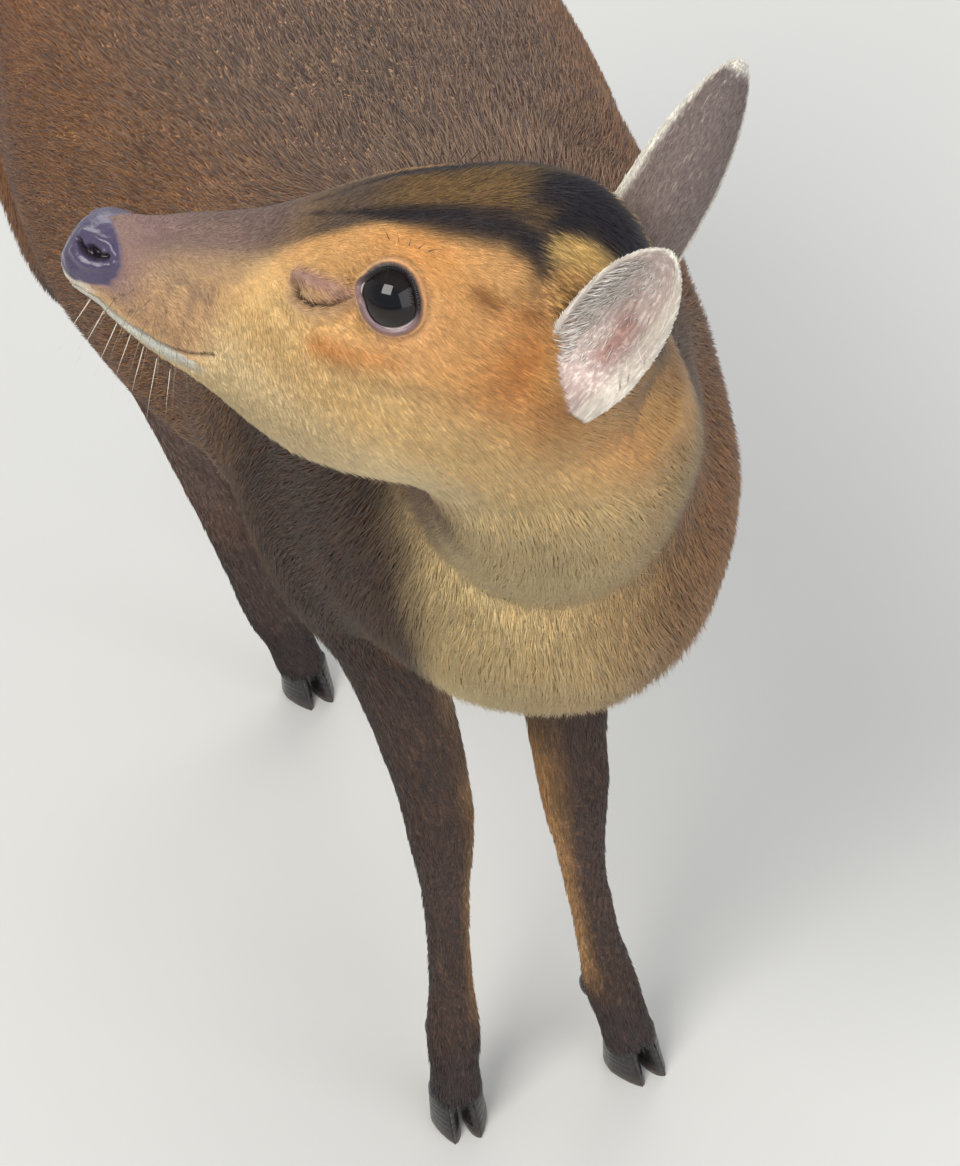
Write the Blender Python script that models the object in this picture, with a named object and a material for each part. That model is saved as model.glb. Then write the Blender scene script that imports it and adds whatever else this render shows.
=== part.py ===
"""Still, life-size model of a muntjac doe: standing, with the head raised and turned far to its right.

Frame: metres, +Z up, the animal faces -Y, its right side is -X.
The origin is the middle of the footprint box, on the floor.
All sizes are out to the tips of the coat.
"""

import math

import bmesh
import bpy
import numpy as np
from mathutils import Matrix, Vector

# ---------------------------------------------------------------- driving sizes
GAP = 0.0003            # clearance between neighbouring pieces
SHIFT = Vector((0.0107, -0.1142, 0.0))  # feet-centred plan -> origin under the middle of the box
VOXEL = 0.0042          # cell of the body surface before it is thinned
BODY_TRIANGLES = 3850   # facets kept on the joined body
SMOOTHING = 7           # relaxing passes over the joins between body and limbs

HEAD_AT = Vector((-0.0413, -0.1392, 0.5215))  # middle of the head, between the eyes
HEAD_TURN = 123.5       # degrees from straight ahead, to its right
HEAD_RAISE = 31.6       # the line of the mouth above level
HEAD_ROLL = 7.2         # left side of the face tipped up

EYE_RADIUS = 0.0120
EYE_PLACE = (-0.0026, 0.0287, 0.0044)          # along the face, to the side, up
EAR_LENGTH = 0.090
EAR_WIDTH = 0.0160      # half, at the widest
EAR_CUP = 0.0110        # depth of the open shell
EAR_WALL = 0.0024
TAIL_LENGTH = 0.125
HOOF_LENGTH = 0.0285
HOOF_WIDTH = 0.0112
HOOF_HEIGHT = 0.0190
HOOF_SPLIT = 0.0016     # cleft between the two claws

# Trunk, chest to rump: y, x of the middle, level, half width, rise, drop, fullness
TRUNK = [
    (-0.124, 0.010, 0.340, 0.022, 0.022, 0.022, 2.0),
    (-0.110, 0.012, 0.340, 0.044, 0.045, 0.044, 2.0),
    (-0.078, 0.014, 0.344, 0.066, 0.075, 0.073, 2.0),
    (-0.040, 0.015, 0.348, 0.078, 0.092, 0.091, 2.1),
    (0.010, 0.014, 0.350, 0.087, 0.106, 0.098, 2.2),
    (0.060, 0.012, 0.348, 0.096, 0.115, 0.099, 2.25),
    (0.110, 0.009, 0.347, 0.106, 0.118, 0.100, 2.25),
    (0.170, 0.004, 0.348, 0.115, 0.121, 0.102, 2.2),
    (0.230, 0.001, 0.352, 0.119, 0.126, 0.101, 2.2),
    (0.290, 0.000, 0.360, 0.116, 0.127, 0.094, 2.2),
    (0.340, 0.000, 0.370, 0.105, 0.115, 0.082, 2.2),
    (0.385, 0.000, 0.382, 0.090, 0.094, 0.066, 2.1),
    (0.420, 0.000, 0.390, 0.066, 0.066, 0.050, 2.0),
    (0.440, 0.000, 0.392, 0.030, 0.032, 0.028, 2.0),
]
# Neck, shoulders to nape: middle, direction of the nape, half width, nape side, throat side
NECK = [
    (0.018, 0.040, 0.375, 0.00, 0.25, 0.97, 0.078, 0.078, 0.080),
    (0.016, -0.025, 0.386, 0.05, 0.30, 0.95, 0.069, 0.066, 0.078),
    (0.013, -0.078, 0.402, 0.20, 0.25, 0.95, 0.057, 0.056, 0.068),
    (0.007, -0.118, 0.424, 0.45, 0.10, 0.90, 0.050, 0.048, 0.058),
    (0.003, -0.148, 0.450, 0.70, -0.10, 0.70, 0.045, 0.043, 0.052),
    (-0.001, -0.164, 0.480, 0.80, -0.40, 0.50, 0.040, 0.038, 0.046),
]
# Head, nose to poll: along the face, level, half width, rise, drop, fullness
HEAD = [
    (0.0955, -0.0545, 0.0065, 0.0075, 0.0065, 2.1),
    (0.0930, -0.0540, 0.0105, 0.0115, 0.0105, 2.2),
    (0.0885, -0.0530, 0.0133, 0.0140, 0.0132, 2.3),
    (0.0840, -0.0525, 0.0148, 0.0150, 0.0148, 2.3),
    (0.0780, -0.0516, 0.0165, 0.0175, 0.0175, 2.3),
    (0.0660, -0.0499, 0.0190, 0.0241, 0.0235, 2.3),
    (0.0530, -0.0465, 0.0220, 0.0292, 0.0285, 2.3),
    (0.0420, -0.0412, 0.0265, 0.0325, 0.0325, 2.3),
    (0.0300, -0.0349, 0.0325, 0.0396, 0.0390, 2.3),
    (0.0160, -0.0287, 0.0385, 0.0489, 0.0480, 2.3),
    (0.0000, -0.0225, 0.0420, 0.0558, 0.0560, 2.3),
    (-0.0180, -0.0144, 0.0438, 0.0615, 0.0615, 2.3),
    (-0.0360, -0.0090, 0.0425, 0.0625, 0.0610, 2.2),
    (-0.0540, -0.0060, 0.0400, 0.0570, 0.0560, 2.1),
    (-0.0720, -0.0060, 0.0345, 0.0440, 0.0440, 2.0),
    (-0.0860, -0.0070, 0.0200, 0.0250, 0.0260, 2.0),
]
# Limbs, top to coronet: middle, half width across, half depth fore and aft
FORE_RIGHT = [
    (-0.030, 0.030, 0.400, 0.032, 0.055),
    (-0.042, 0.035, 0.340, 0.038, 0.060),
    (-0.045, 0.038, 0.300, 0.034, 0.055),
    (-0.041, 0.040, 0.270, 0.029, 0.044),
    (-0.033, 0.034, 0.240, 0.0225, 0.031),
    (-0.029, 0.028, 0.210, 0.0185, 0.0225),
    (-0.0265, 0.020, 0.180, 0.0165, 0.0180),
    (-0.0262, 0.016, 0.163, 0.0153, 0.0163),
    (-0.0272, 0.013, 0.145, 0.0140, 0.0155),
    (-0.0285, 0.013, 0.125, 0.0117, 0.0127),
    (-0.0304, 0.014, 0.095, 0.0104, 0.0115),
    (-0.0325, 0.015, 0.065, 0.0111, 0.0120),
    (-0.0340, 0.013, 0.048, 0.0122, 0.0135),
    (-0.0370, 0.008, 0.030, 0.0122, 0.0130),
    (-0.0388, 0.006, 0.012, 0.0118, 0.0130),
]
FORE_LEFT = [
    (0.045, 0.030, 0.400, 0.032, 0.055),
    (0.058, 0.035, 0.340, 0.038, 0.060),
    (0.057, 0.038, 0.300, 0.034, 0.055),
    (0.050, 0.040, 0.270, 0.029, 0.044),
    (0.0415, 0.034, 0.240, 0.0228, 0.031),
    (0.0355, 0.028, 0.210, 0.0188, 0.0225),
    (0.0318, 0.020, 0.180, 0.0170, 0.0180),
    (0.0305, 0.016, 0.163, 0.0157, 0.0163),
    (0.0292, 0.013, 0.145, 0.0141, 0.0155),
    (0.0285, 0.013, 0.125, 0.0120, 0.0127),
    (0.0300, 0.014, 0.095, 0.0104, 0.0115),
    (0.0323, 0.015, 0.065, 0.0111, 0.0120),
    (0.0340, 0.013, 0.048, 0.0122, 0.0135),
    (0.0362, 0.008, 0.030, 0.0125, 0.0130),
    (0.0390, 0.006, 0.012, 0.0122, 0.0130),
]
HIND_RIGHT = [
    (-0.045, 0.350, 0.430, 0.042, 0.075),
    (-0.060, 0.330, 0.370, 0.047, 0.080),
    (-0.074, 0.312, 0.315, 0.042, 0.062),
    (-0.080, 0.325, 0.270, 0.030, 0.042),
    (-0.077, 0.352, 0.235, 0.0195, 0.027),
    (-0.069, 0.372, 0.205, 0.0155, 0.0215),
    (-0.060, 0.360, 0.175, 0.0138, 0.0170),
    (-0.0495, 0.343, 0.130, 0.0125, 0.0138),
    (-0.0385, 0.326, 0.085, 0.0124, 0.0134),
    (-0.0295, 0.315, 0.052, 0.0145, 0.0150),
    (-0.0245, 0.308, 0.034, 0.0135, 0.0140),
    (-0.0200, 0.304, 0.012, 0.0122, 0.0135),
]
HIND_LEFT_BACK = 0.045  # the left hind foot stands this far behind the right one
HIND_LEFT_OUT = 0.016   # and this much further from the middle line
HIND_LEFT = [
    (
        -x + HIND_LEFT_OUT * (1 - min(1.0, z / 0.21)),
        y + HIND_LEFT_BACK * (1 - min(1.0, z / 0.30)),
        z,
        a,
        b,
    )
    for x, y, z, a, b in HIND_RIGHT
]
# Feet: middle of the sole, direction of the toes (degrees from straight ahead, to its left)
FEET = {
    "front_right": (-0.0388, 0.0070, -4.0),
    "front_left": (0.0393, 0.0075, 12.0),
    "hind_right": (-0.0195, 0.3040, 8.0),
    "hind_left": (0.0345, 0.3470, 4.0),
}

COLOURS = {
    "coat": (0.150, 0.078, 0.036),
    "throat": (0.560, 0.400, 0.190),
    "leg": (0.050, 0.028, 0.020),
    "ear": (0.270, 0.190, 0.165),
    "eye": (0.010, 0.008, 0.012),
    "hoof": (0.012, 0.011, 0.014),
}
ROUGHNESS = {"eye": 0.08, "hoof": 0.25}


# ---------------------------------------------------------------- tools
def clear():
    for obj in list(bpy.data.objects):
        bpy.data.objects.remove(obj, do_unlink=True)


def material(name):
    mat = bpy.data.materials.new(name)
    mat.use_nodes = True
    shader = mat.node_tree.nodes["Principled BSDF"]
    shader.inputs["Base Color"].default_value = (*COLOURS[name], 1.0)
    shader.inputs["Roughness"].default_value = ROUGHNESS.get(name, 0.85)
    shader.inputs["Metallic"].default_value = 0.0
    mat.diffuse_color = (*COLOURS[name], 1.0)
    return mat


def smooth_rows(rows, count):
    """A smooth curve through the rows of a table, read off at evenly spaced places."""
    table = np.array(rows, float)
    last = len(table) - 1
    ends = np.vstack([2 * table[0] - table[1], table, 2 * table[-1] - table[-2]])
    at = np.linspace(0, last, count)
    i = np.clip(np.floor(at).astype(int), 0, last - 1)
    f = (at - i)[:, None]
    p0, p1, p2, p3 = ends[i], ends[i + 1], ends[i + 2], ends[i + 3]
    return 0.5 * (
        2 * p1
        + (p2 - p0) * f
        + (2 * p0 - 5 * p1 + 4 * p2 - p3) * f**2
        + (3 * p1 - p0 - 3 * p2 + p3) * f**3
    )


def oval(middle, side, up, half, rise, drop, full, count):
    """A closed section: round at fullness 2, squarer above it."""
    turn = np.linspace(0, 2 * np.pi, count, endpoint=False)
    x = np.sign(np.cos(turn)) * np.abs(np.cos(turn)) ** (2 / full)
    y = np.sign(np.sin(turn)) * np.abs(np.sin(turn)) ** (2 / full)
    reach = np.where(y >= 0, rise, drop)
    return (
        np.asarray(middle)
        + np.outer(x * half, np.asarray(side))
        + np.outer(y * reach, np.asarray(up))
    )


def unit(v):
    v = np.asarray(v, float)
    return v / np.linalg.norm(v)


def add_loft(bm, rings):
    """Bridges the sections in order and closes both ends."""
    loops = [[bm.verts.new(p) for p in ring] for ring in rings]
    for a, b in zip(loops, loops[1:]):
        n = len(a)
        for k in range(n):
            bm.faces.new((a[k], a[(k + 1) % n], b[(k + 1) % n], b[k]))
    bm.faces.new(loops[0][::-1])
    bm.faces.new(loops[-1])


def mesh_object(name, bm, mat=None, shift=True):
    bmesh.ops.recalc_face_normals(bm, faces=bm.faces)
    mesh = bpy.data.meshes.new(name)
    bm.to_mesh(mesh)
    bm.free()
    if shift:
        mesh.transform(Matrix.Translation(SHIFT))
    obj = bpy.data.objects.new(name, mesh)
    bpy.context.scene.collection.objects.link(obj)
    if mat:
        mesh.materials.append(mat)
    return obj


def helper(obj):
    obj.hide_render = True
    obj.display_type = "WIRE"
    return obj


def head_axes():
    turn, lift, roll = (math.radians(a) for a in (HEAD_TURN, HEAD_RAISE, HEAD_ROLL))
    nose = Vector((-math.sin(turn) * math.cos(lift), -math.cos(turn) * math.cos(lift), math.sin(lift)))
    left = nose.cross(Vector((0, 0, 1))).normalized() * -1
    up = nose.cross(left) * -1 if nose.cross(left).z < 0 else nose.cross(left)
    left, up = (
        left * math.cos(roll) + up * math.sin(roll),
        up * math.cos(roll) - left * math.sin(roll),
    )
    return nose, left, up


NOSE, LEFT, UP = head_axes()


def on_head(along, side, up):
    return HEAD_AT + NOSE * along + LEFT * side + UP * up


# ---------------------------------------------------------------- sections
def trunk_rings():
    return [
        oval((r[1], r[0], r[2]), (1, 0, 0), (0, 0, 1), r[3], r[4], r[5], r[6], 48)
        for r in smooth_rows(TRUNK, 60)
    ]


def neck_rings():
    rows = smooth_rows(NECK, 36)
    run = np.gradient(rows[:, :3], axis=0)
    rings = []
    for r, d in zip(rows, run):
        d = unit(d)
        nape = unit(r[3:6] - d * (r[3:6] @ d))
        rings.append(oval(r[:3], np.cross(d, nape), nape, r[6], r[7], r[8], 2.1, 40))
    return rings


def head_rings():
    return [
        oval(on_head(r[0], 0, r[1]), LEFT, UP, r[2], r[3], r[4], r[5], 44)
        for r in smooth_rows(HEAD, 60)
    ]


def limb_rings(table):
    rows = smooth_rows(table, 52)
    run = np.gradient(rows[:, :3], axis=0)
    rings = []
    for r, d in zip(rows, run):
        d = unit(d)
        side = unit(np.array((1.0, 0, 0)) - d * d[0])
        rings.append(oval(r[:3], side, np.cross(d, side), r[3], r[4], r[4], 2.1, 24))
    return rings


def body():
    """Trunk, neck, head and limbs, grown into one skin and thinned to plain facets."""
    bm = bmesh.new()
    for rings in (
        trunk_rings(),
        neck_rings(),
        head_rings(),
        limb_rings(FORE_RIGHT),
        limb_rings(FORE_LEFT),
        limb_rings(HIND_RIGHT),
        limb_rings(HIND_LEFT),
    ):
        add_loft(bm, rings)
    obj = helper(mesh_object("body_form", bm))
    grow = obj.modifiers.new("Grow", "REMESH")
    grow.mode = "VOXEL"
    grow.voxel_size = VOXEL
    relax = obj.modifiers.new("Relax", "SMOOTH")
    relax.factor = 0.5
    relax.iterations = SMOOTHING
    graph = bpy.context.evaluated_depsgraph_get()
    dense = obj.evaluated_get(graph).to_mesh()
    facets = sum(len(p.vertices) - 2 for p in dense.polygons)
    obj.evaluated_get(graph).to_mesh_clear()
    thin = obj.modifiers.new("Thin", "DECIMATE")
    thin.ratio = BODY_TRIANGLES / facets
    thin.use_collapse_triangulate = True
    graph = bpy.context.evaluated_depsgraph_get()
    mesh = bpy.data.meshes.new_from_object(obj.evaluated_get(graph))
    mesh.name = "body"
    bpy.data.objects.remove(obj, do_unlink=True)
    return mesh


def region(name, middle, axes, halves, grow=0.0):
    """A block that marks off one part of the body; grown, it leaves the gap."""
    bm = bmesh.new()
    bmesh.ops.create_cube(bm, size=2.0)
    frame = Matrix([list(a) for a in axes]).transposed().to_4x4()
    size = Matrix.Diagonal(Vector([h + grow for h in halves] + [1.0]))
    bmesh.ops.transform(bm, matrix=Matrix.Translation(middle) @ frame @ size, verts=bm.verts)
    return helper(mesh_object(name, bm))


def side_block(name, outline, x0, x1, grow=0.0):
    """A block with an outline seen from the side (y, z), corners in turn, from x0 to x1."""
    points = [Vector(p) for p in outline]
    moved = []
    for i, p in enumerate(points):
        a = (p - points[i - 1]).normalized()
        b = (points[(i + 1) % len(points)] - p).normalized()
        out_a, out_b = Vector((a.y, -a.x)), Vector((b.y, -b.x))
        moved.append(p + (out_a + out_b) * (grow / (1.0 + out_a.dot(out_b))))
    bm = bmesh.new()
    add_loft(bm, [[Vector((x, p.x, p.y)) for p in moved] for x in (x0 - grow, x1 + grow)])
    return helper(mesh_object(name, bm))


def boolean(obj, cutter, operation):
    mod = obj.modifiers.new(cutter.name, "BOOLEAN")
    mod.operation = operation
    mod.solver = "EXACT"
    mod.object = cutter


def settle(obj):
    """Keeps the cut shape, without the specks that a cut leaves beside it."""
    graph = bpy.context.evaluated_depsgraph_get()
    mesh = bpy.data.meshes.new_from_object(obj.evaluated_get(graph))
    obj.modifiers.clear()
    bm = bmesh.new()
    bm.from_mesh(mesh)
    bm.verts.ensure_lookup_table()
    seen, islands = set(), []
    for start in bm.verts:
        if start.index in seen:
            continue
        seen.add(start.index)
        stack, island = [start], []
        while stack:
            vert = stack.pop()
            island.append(vert)
            for edge in vert.link_edges:
                other = edge.other_vert(vert)
                if other.index not in seen:
                    seen.add(other.index)
                    stack.append(other)
        islands.append(island)
    islands.sort(key=len)
    specks = [v for island in islands[:-1] if len(island) < 0.03 * len(islands[-1]) for v in island]
    bmesh.ops.delete(bm, geom=specks, context="VERTS")
    bm.to_mesh(mesh)
    bm.free()
    mesh.name = obj.name
    obj.data = mesh


def basis(toward, hint):
    """Three axes: the last one toward, the second near the hint."""
    w = Vector(toward).normalized()
    v = (Vector(hint) - w * Vector(hint).dot(w)).normalized()
    return v.cross(w), v, w


# ---------------------------------------------------------------- small parts
def ear_axes(side):
    """Base, length, opening and width directions of an ear; side is +1 left, -1 right."""
    base = on_head(-0.0615, side * 0.0300, 0.001)
    length = (UP * 0.92 + LEFT * (0.38 if side > 0 else -0.42) - NOSE * 0.02).normalized()
    opening = LEFT * (0.97 * side) + NOSE * 0.22
    opening = (opening - length * opening.dot(length)).normalized()
    return base, length, opening, length.cross(opening)


def ear_rings(side, grow=0.0, filled=False):
    base, length, opening, across = ear_axes(side)
    rings = []
    steps = 12
    for i in range(steps):
        v = i / (steps - 1)
        # width: a narrow root, widest below the middle, drawn in to a rounded tip
        if v < 0.30:
            wide = 0.012 + (EAR_WIDTH - 0.012) * math.sin(v / 0.30 * math.pi / 2)
        else:
            wide = EAR_WIDTH * max(0.0, 1 - ((v - 0.30) / 0.72) ** 2.3) ** 0.62
        cup = EAR_CUP * (0.75 + 0.6 * math.sin(min(1.0, v / 0.45) * math.pi / 2)) * (1 - v) ** 0.45
        cup = max(cup, 0.002)
        hollow = 0.0 if (filled or v < 0.22) else min(1.0, (v - 0.22) / 0.18)
        wall = EAR_WALL
        end = -grow if i == 0 else grow if i == steps - 1 else 0.0
        middle = base + length * (EAR_LENGTH * v + end) - opening * (0.004 * math.sin(v * math.pi))
        back, front = [], []
        n = 7
        for k in range(n):
            u = -1 + 2 * k / (n - 1)
            dip = cup * (1 - u * u)
            rise = 0.35 * cup * (1 - u * u) if hollow < 1 else 0.0
            face = (1 - hollow) * rise - hollow * max(0.0, dip - wall)
            back.append(middle + across * (u * (wide + grow)) - opening * (dip + grow + 0.0004))
            front.append(middle + across * (u * (wide + grow)) + opening * (face + grow + 0.0004))
        rings.append(back + front[::-1])
    return rings


def ear(name, side, mat, grow=0.0, filled=False):
    bm = bmesh.new()
    add_loft(bm, ear_rings(side, grow, filled))
    return mesh_object(name, bm, mat)


def eye(name, side, mat, grow=0.0):
    bm = bmesh.new()
    bmesh.ops.create_uvsphere(bm, u_segments=14, v_segments=9, radius=EYE_RADIUS + grow)
    along, out, up = EYE_PLACE
    bmesh.ops.translate(bm, vec=on_head(along, side * out, up), verts=bm.verts)
    return mesh_object(name, bm, mat)


def tail_rings(grow=0.0):
    rings = []
    steps = 10
    for i in range(steps):
        v = i / (steps - 1)
        y = 0.412 + 0.046 * math.sin(min(1.0, v * 1.7) * math.pi / 2) + 0.004 * v
        z = 0.437 - TAIL_LENGTH * v + 0.004 + (grow if i == 0 else -grow if i == steps - 1 else 0.0)
        wide = 0.012 + 0.011 * math.sin(math.pi * min(1.0, v * 1.15))
        wide *= (1 - max(0.0, (v - 0.80) / 0.20) ** 2 * 0.75)
        deep = 0.0095 * (1 - max(0.0, (v - 0.75) / 0.25) ** 2 * 0.6)
        rings.append(oval((0, y, z), (1, 0, 0), (0, 1, 0.25), wide + grow, deep + grow, deep + grow, 2.0, 14))
    return rings


def tail(name, mat, grow=0.0):
    bm = bmesh.new()
    add_loft(bm, tail_rings(grow))
    return mesh_object(name, bm, mat)


def claw(name, foot, side, mat, grow=0.0):
    """One claw of a cloven hoof: flat sole, straight inner wall, pointed toe, sloping front."""
    x0, y0, turn = FEET[foot]
    a = math.radians(turn)
    ahead = Vector((math.sin(a), -math.cos(a), 0))
    right = Vector((-math.cos(a), -math.sin(a), 0))
    out = right * side
    rings = []
    for v in np.linspace(0, 1, 4):
        z = HOOF_HEIGHT * v
        toe = HOOF_LENGTH * (0.56 - 0.30 * v) + grow
        heel = HOOF_LENGTH * (0.44 - 0.08 * v) + grow
        wide = HOOF_WIDTH * (1.0 - 0.10 * v) + grow
        ring = []
        for k in range(12):
            t = 2 * math.pi * k / 12
            c, s = math.cos(t), math.sin(t)
            # the outer wall bows out, the inner wall is nearly straight
            along = c * (toe if c > 0 else heel)
            across = HOOF_SPLIT / 2 - grow + (wide) * (0.5 + 0.5 * s) if s < 0 else (
                HOOF_SPLIT / 2 + wide * (0.5 + 0.5 * s * (1 - 0.30 * max(0.0, c)))
            )
            across -= 0.0016 * max(0.0, c) * (1 if s > 0 else 0.2)
            ring.append(Vector((x0, y0, z - (grow if v == 0 else -grow if v == 1 else 0))) + ahead * along + out * across)
        rings.append(ring)
    bm = bmesh.new()
    add_loft(bm, rings)
    return mesh_object(name, bm, mat)


def dewclaw(name, foot, side, table, mat, grow=0.0):
    """The small claw behind the pastern."""
    rows = smooth_rows(table, 60)
    near = rows[np.argmin(np.abs(rows[:, 2] - 0.036))]
    turn = math.radians(FEET[foot][2])
    ahead = Vector((math.sin(turn), -math.cos(turn), 0))
    right = Vector((-math.cos(turn), -math.sin(turn), 0))
    middle = Vector(near[:3]) - ahead * 0.0125 + right * (side * 0.0062)
    bm = bmesh.new()
    bmesh.ops.create_uvsphere(bm, u_segments=8, v_segments=5, radius=1.0)
    axes = basis((0, 0, 1), ahead)
    frame = Matrix([list(v) for v in axes]).transposed().to_4x4()
    size = Matrix.Diagonal(Vector((0.0036 + grow, 0.0046 + grow, 0.0062 + grow, 1.0)))
    bmesh.ops.transform(bm, matrix=Matrix.Translation(middle) @ frame @ size, verts=bm.verts)
    return mesh_object(name, bm, mat)


# ---------------------------------------------------------------- assembly
def build():
    clear()
    mats = {name: material(name) for name in COLOURS}
    form = body()

    level = (Vector((1, 0, 0)), Vector((0, 1, 0)), Vector((0, 0, 1)))
    head_cut = on_head(-0.052, 0.0, -0.052)
    back_of_head = (NOSE * 0.60 + UP * 0.80).normalized()
    blocks = {
        # name: (middle, axes, half sizes, material)
        "leg_front_right": (Vector((-0.100, 0.020, 0.112)), level, (0.104, 0.075, 0.130), "leg"),
        "leg_front_left": (Vector((0.108, 0.020, 0.112)), level, (0.102, 0.075, 0.130), "leg"),
    }
    # Hind legs: parted from the trunk by a plane that slopes from the flank up to the buttock.
    thigh = [(0.235, -0.020), (0.500, -0.020), (0.500, 0.405), (0.250, 0.279)]
    side_blocks = {
        # name: (outline, from x, to x, material)
        "leg_hind_right": (thigh, -0.2500, 0.0030, "leg"),
        "leg_hind_left": (thigh, 0.0035, 0.2500, "leg"),
    }
    # Head and neck: parted behind the jaw and at the shoulders.
    head_ax = basis(back_of_head, LEFT)
    head_reach = (NOSE * 0.80 - UP * 0.60).normalized()
    blocks["head"] = (head_cut + head_reach * 0.055 + back_of_head * 0.120, head_ax, (0.142, 0.085, 0.120), "coat")
    neck_up = Vector((0.05, -0.80, 0.60)).normalized()
    neck_ax = basis(neck_up, (1, 0, 0))
    neck_cut = Vector((0.018, -0.050, 0.400))
    blocks["neck"] = (neck_cut + neck_up * 0.150, neck_ax, (0.200, 0.200, 0.150), "throat")

    solids = {}

    def piece(name, mat):
        obj = bpy.data.objects.new(name, form.copy())
        bpy.context.scene.collection.objects.link(obj)
        obj.data.materials.clear()
        obj.data.materials.append(mats[mat])
        solids[name] = obj
        return obj

    trunk = piece("trunk", "coat")
    marks = {}
    for name, (middle, axes, halves, mat) in blocks.items():
        marks[name] = region("mark_" + name, middle, axes, halves)
        wide = region("part_" + name, middle, axes, halves, grow=GAP)
        boolean(trunk, wide, "DIFFERENCE")
        if name == "neck":
            neck = piece("neck", mat)
            boolean(neck, bpy.data.objects["part_head"], "DIFFERENCE")
            boolean(neck, marks["neck"], "INTERSECT")
        else:
            boolean(piece(name, mat), marks[name], "INTERSECT")
    for name, (outline, x0, x1, mat) in side_blocks.items():
        boolean(trunk, side_block("part_" + name, outline, x0, x1, grow=GAP), "DIFFERENCE")
        boolean(piece(name, mat), side_block("mark_" + name, outline, x0, x1), "INTERSECT")

    # Ears, eyes and tail sit in sockets a hair wider than themselves.
    for word, side in (("left", 1), ("right", -1)):
        ear("ear_" + word, side, mats["ear"])
        boolean(solids["head"], helper(ear("socket_ear_" + word, side, None, GAP, True)), "DIFFERENCE")
        eye("eye_" + word, side, mats["eye"])
        boolean(solids["head"], helper(eye("socket_eye_" + word, side, None, GAP)), "DIFFERENCE")
    tail("tail", mats["coat"])
    boolean(trunk, helper(tail("socket_tail", None, GAP)), "DIFFERENCE")

    # Feet: two claws on the floor and two dewclaws behind, on each leg.
    tables = {
        "front_right": FORE_RIGHT,
        "front_left": FORE_LEFT,
        "hind_right": HIND_RIGHT,
        "hind_left": HIND_LEFT,
    }
    for foot, table in tables.items():
        leg = solids["leg_" + foot]
        for word, side in (("a", 1), ("b", -1)):
            claw(f"hoof_{foot}_{word}", foot, side, mats["hoof"])
            boolean(leg, helper(claw(f"socket_hoof_{foot}_{word}", foot, side, None, GAP)), "DIFFERENCE")
            dewclaw(f"dewclaw_{foot}_{word}", foot, side, table, mats["hoof"])
            boolean(leg, helper(dewclaw(f"socket_dewclaw_{foot}_{word}", foot, side, table, None, GAP)), "DIFFERENCE")
    for obj in solids.values():
        settle(obj)


build()
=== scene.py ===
import math

import bmesh
import bpy
import numpy as np
from mathutils import Matrix, Vector


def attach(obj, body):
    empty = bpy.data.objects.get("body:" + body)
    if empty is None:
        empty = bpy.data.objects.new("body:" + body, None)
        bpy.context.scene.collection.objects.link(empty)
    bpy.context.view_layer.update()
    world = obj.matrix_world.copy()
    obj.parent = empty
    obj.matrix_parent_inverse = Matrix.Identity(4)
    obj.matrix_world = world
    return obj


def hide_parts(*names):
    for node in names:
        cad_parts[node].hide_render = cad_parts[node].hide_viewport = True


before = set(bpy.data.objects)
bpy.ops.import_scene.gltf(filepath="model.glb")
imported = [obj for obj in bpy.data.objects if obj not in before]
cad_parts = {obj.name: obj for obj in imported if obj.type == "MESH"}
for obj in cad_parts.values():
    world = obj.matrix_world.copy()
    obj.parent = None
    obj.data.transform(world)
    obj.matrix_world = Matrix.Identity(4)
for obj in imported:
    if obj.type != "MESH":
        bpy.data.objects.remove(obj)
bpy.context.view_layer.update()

# ------------------------------------------------------------------ sizes, as in the solids
SHIFT = np.array((0.0107, -0.1142, 0.0))
HEAD_AT = np.array((-0.0413, -0.1392, 0.5215))
HEAD_TURN, HEAD_RAISE, HEAD_ROLL = 123.5, 31.6, 7.2
EYE_RADIUS = 0.0120
EYE_PLACE = (-0.0026, 0.0287, 0.0044)
EAR_LENGTH, EAR_WIDTH, EAR_CUP, EAR_WALL = 0.090, 0.0160, 0.0110, 0.0024
TAIL_LENGTH = 0.125
HOOF_LENGTH, HOOF_WIDTH, HOOF_HEIGHT, HOOF_SPLIT = 0.0285, 0.0112, 0.0190, 0.0016

TRUNK = [
    (-0.124, 0.010, 0.340, 0.022, 0.022, 0.022, 2.0),
    (-0.110, 0.012, 0.340, 0.044, 0.045, 0.044, 2.0),
    (-0.078, 0.014, 0.344, 0.066, 0.075, 0.073, 2.0),
    (-0.040, 0.015, 0.348, 0.078, 0.092, 0.091, 2.1),
    (0.010, 0.014, 0.350, 0.087, 0.106, 0.098, 2.2),
    (0.060, 0.012, 0.348, 0.096, 0.115, 0.099, 2.25),
    (0.110, 0.009, 0.347, 0.106, 0.118, 0.100, 2.25),
    (0.170, 0.004, 0.348, 0.115, 0.121, 0.102, 2.2),
    (0.230, 0.001, 0.352, 0.119, 0.126, 0.101, 2.2),
    (0.290, 0.000, 0.360, 0.116, 0.127, 0.094, 2.2),
    (0.340, 0.000, 0.370, 0.105, 0.115, 0.082, 2.2),
    (0.385, 0.000, 0.382, 0.090, 0.094, 0.066, 2.1),
    (0.420, 0.000, 0.390, 0.066, 0.066, 0.050, 2.0),
    (0.440, 0.000, 0.392, 0.030, 0.032, 0.028, 2.0),
]
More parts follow.
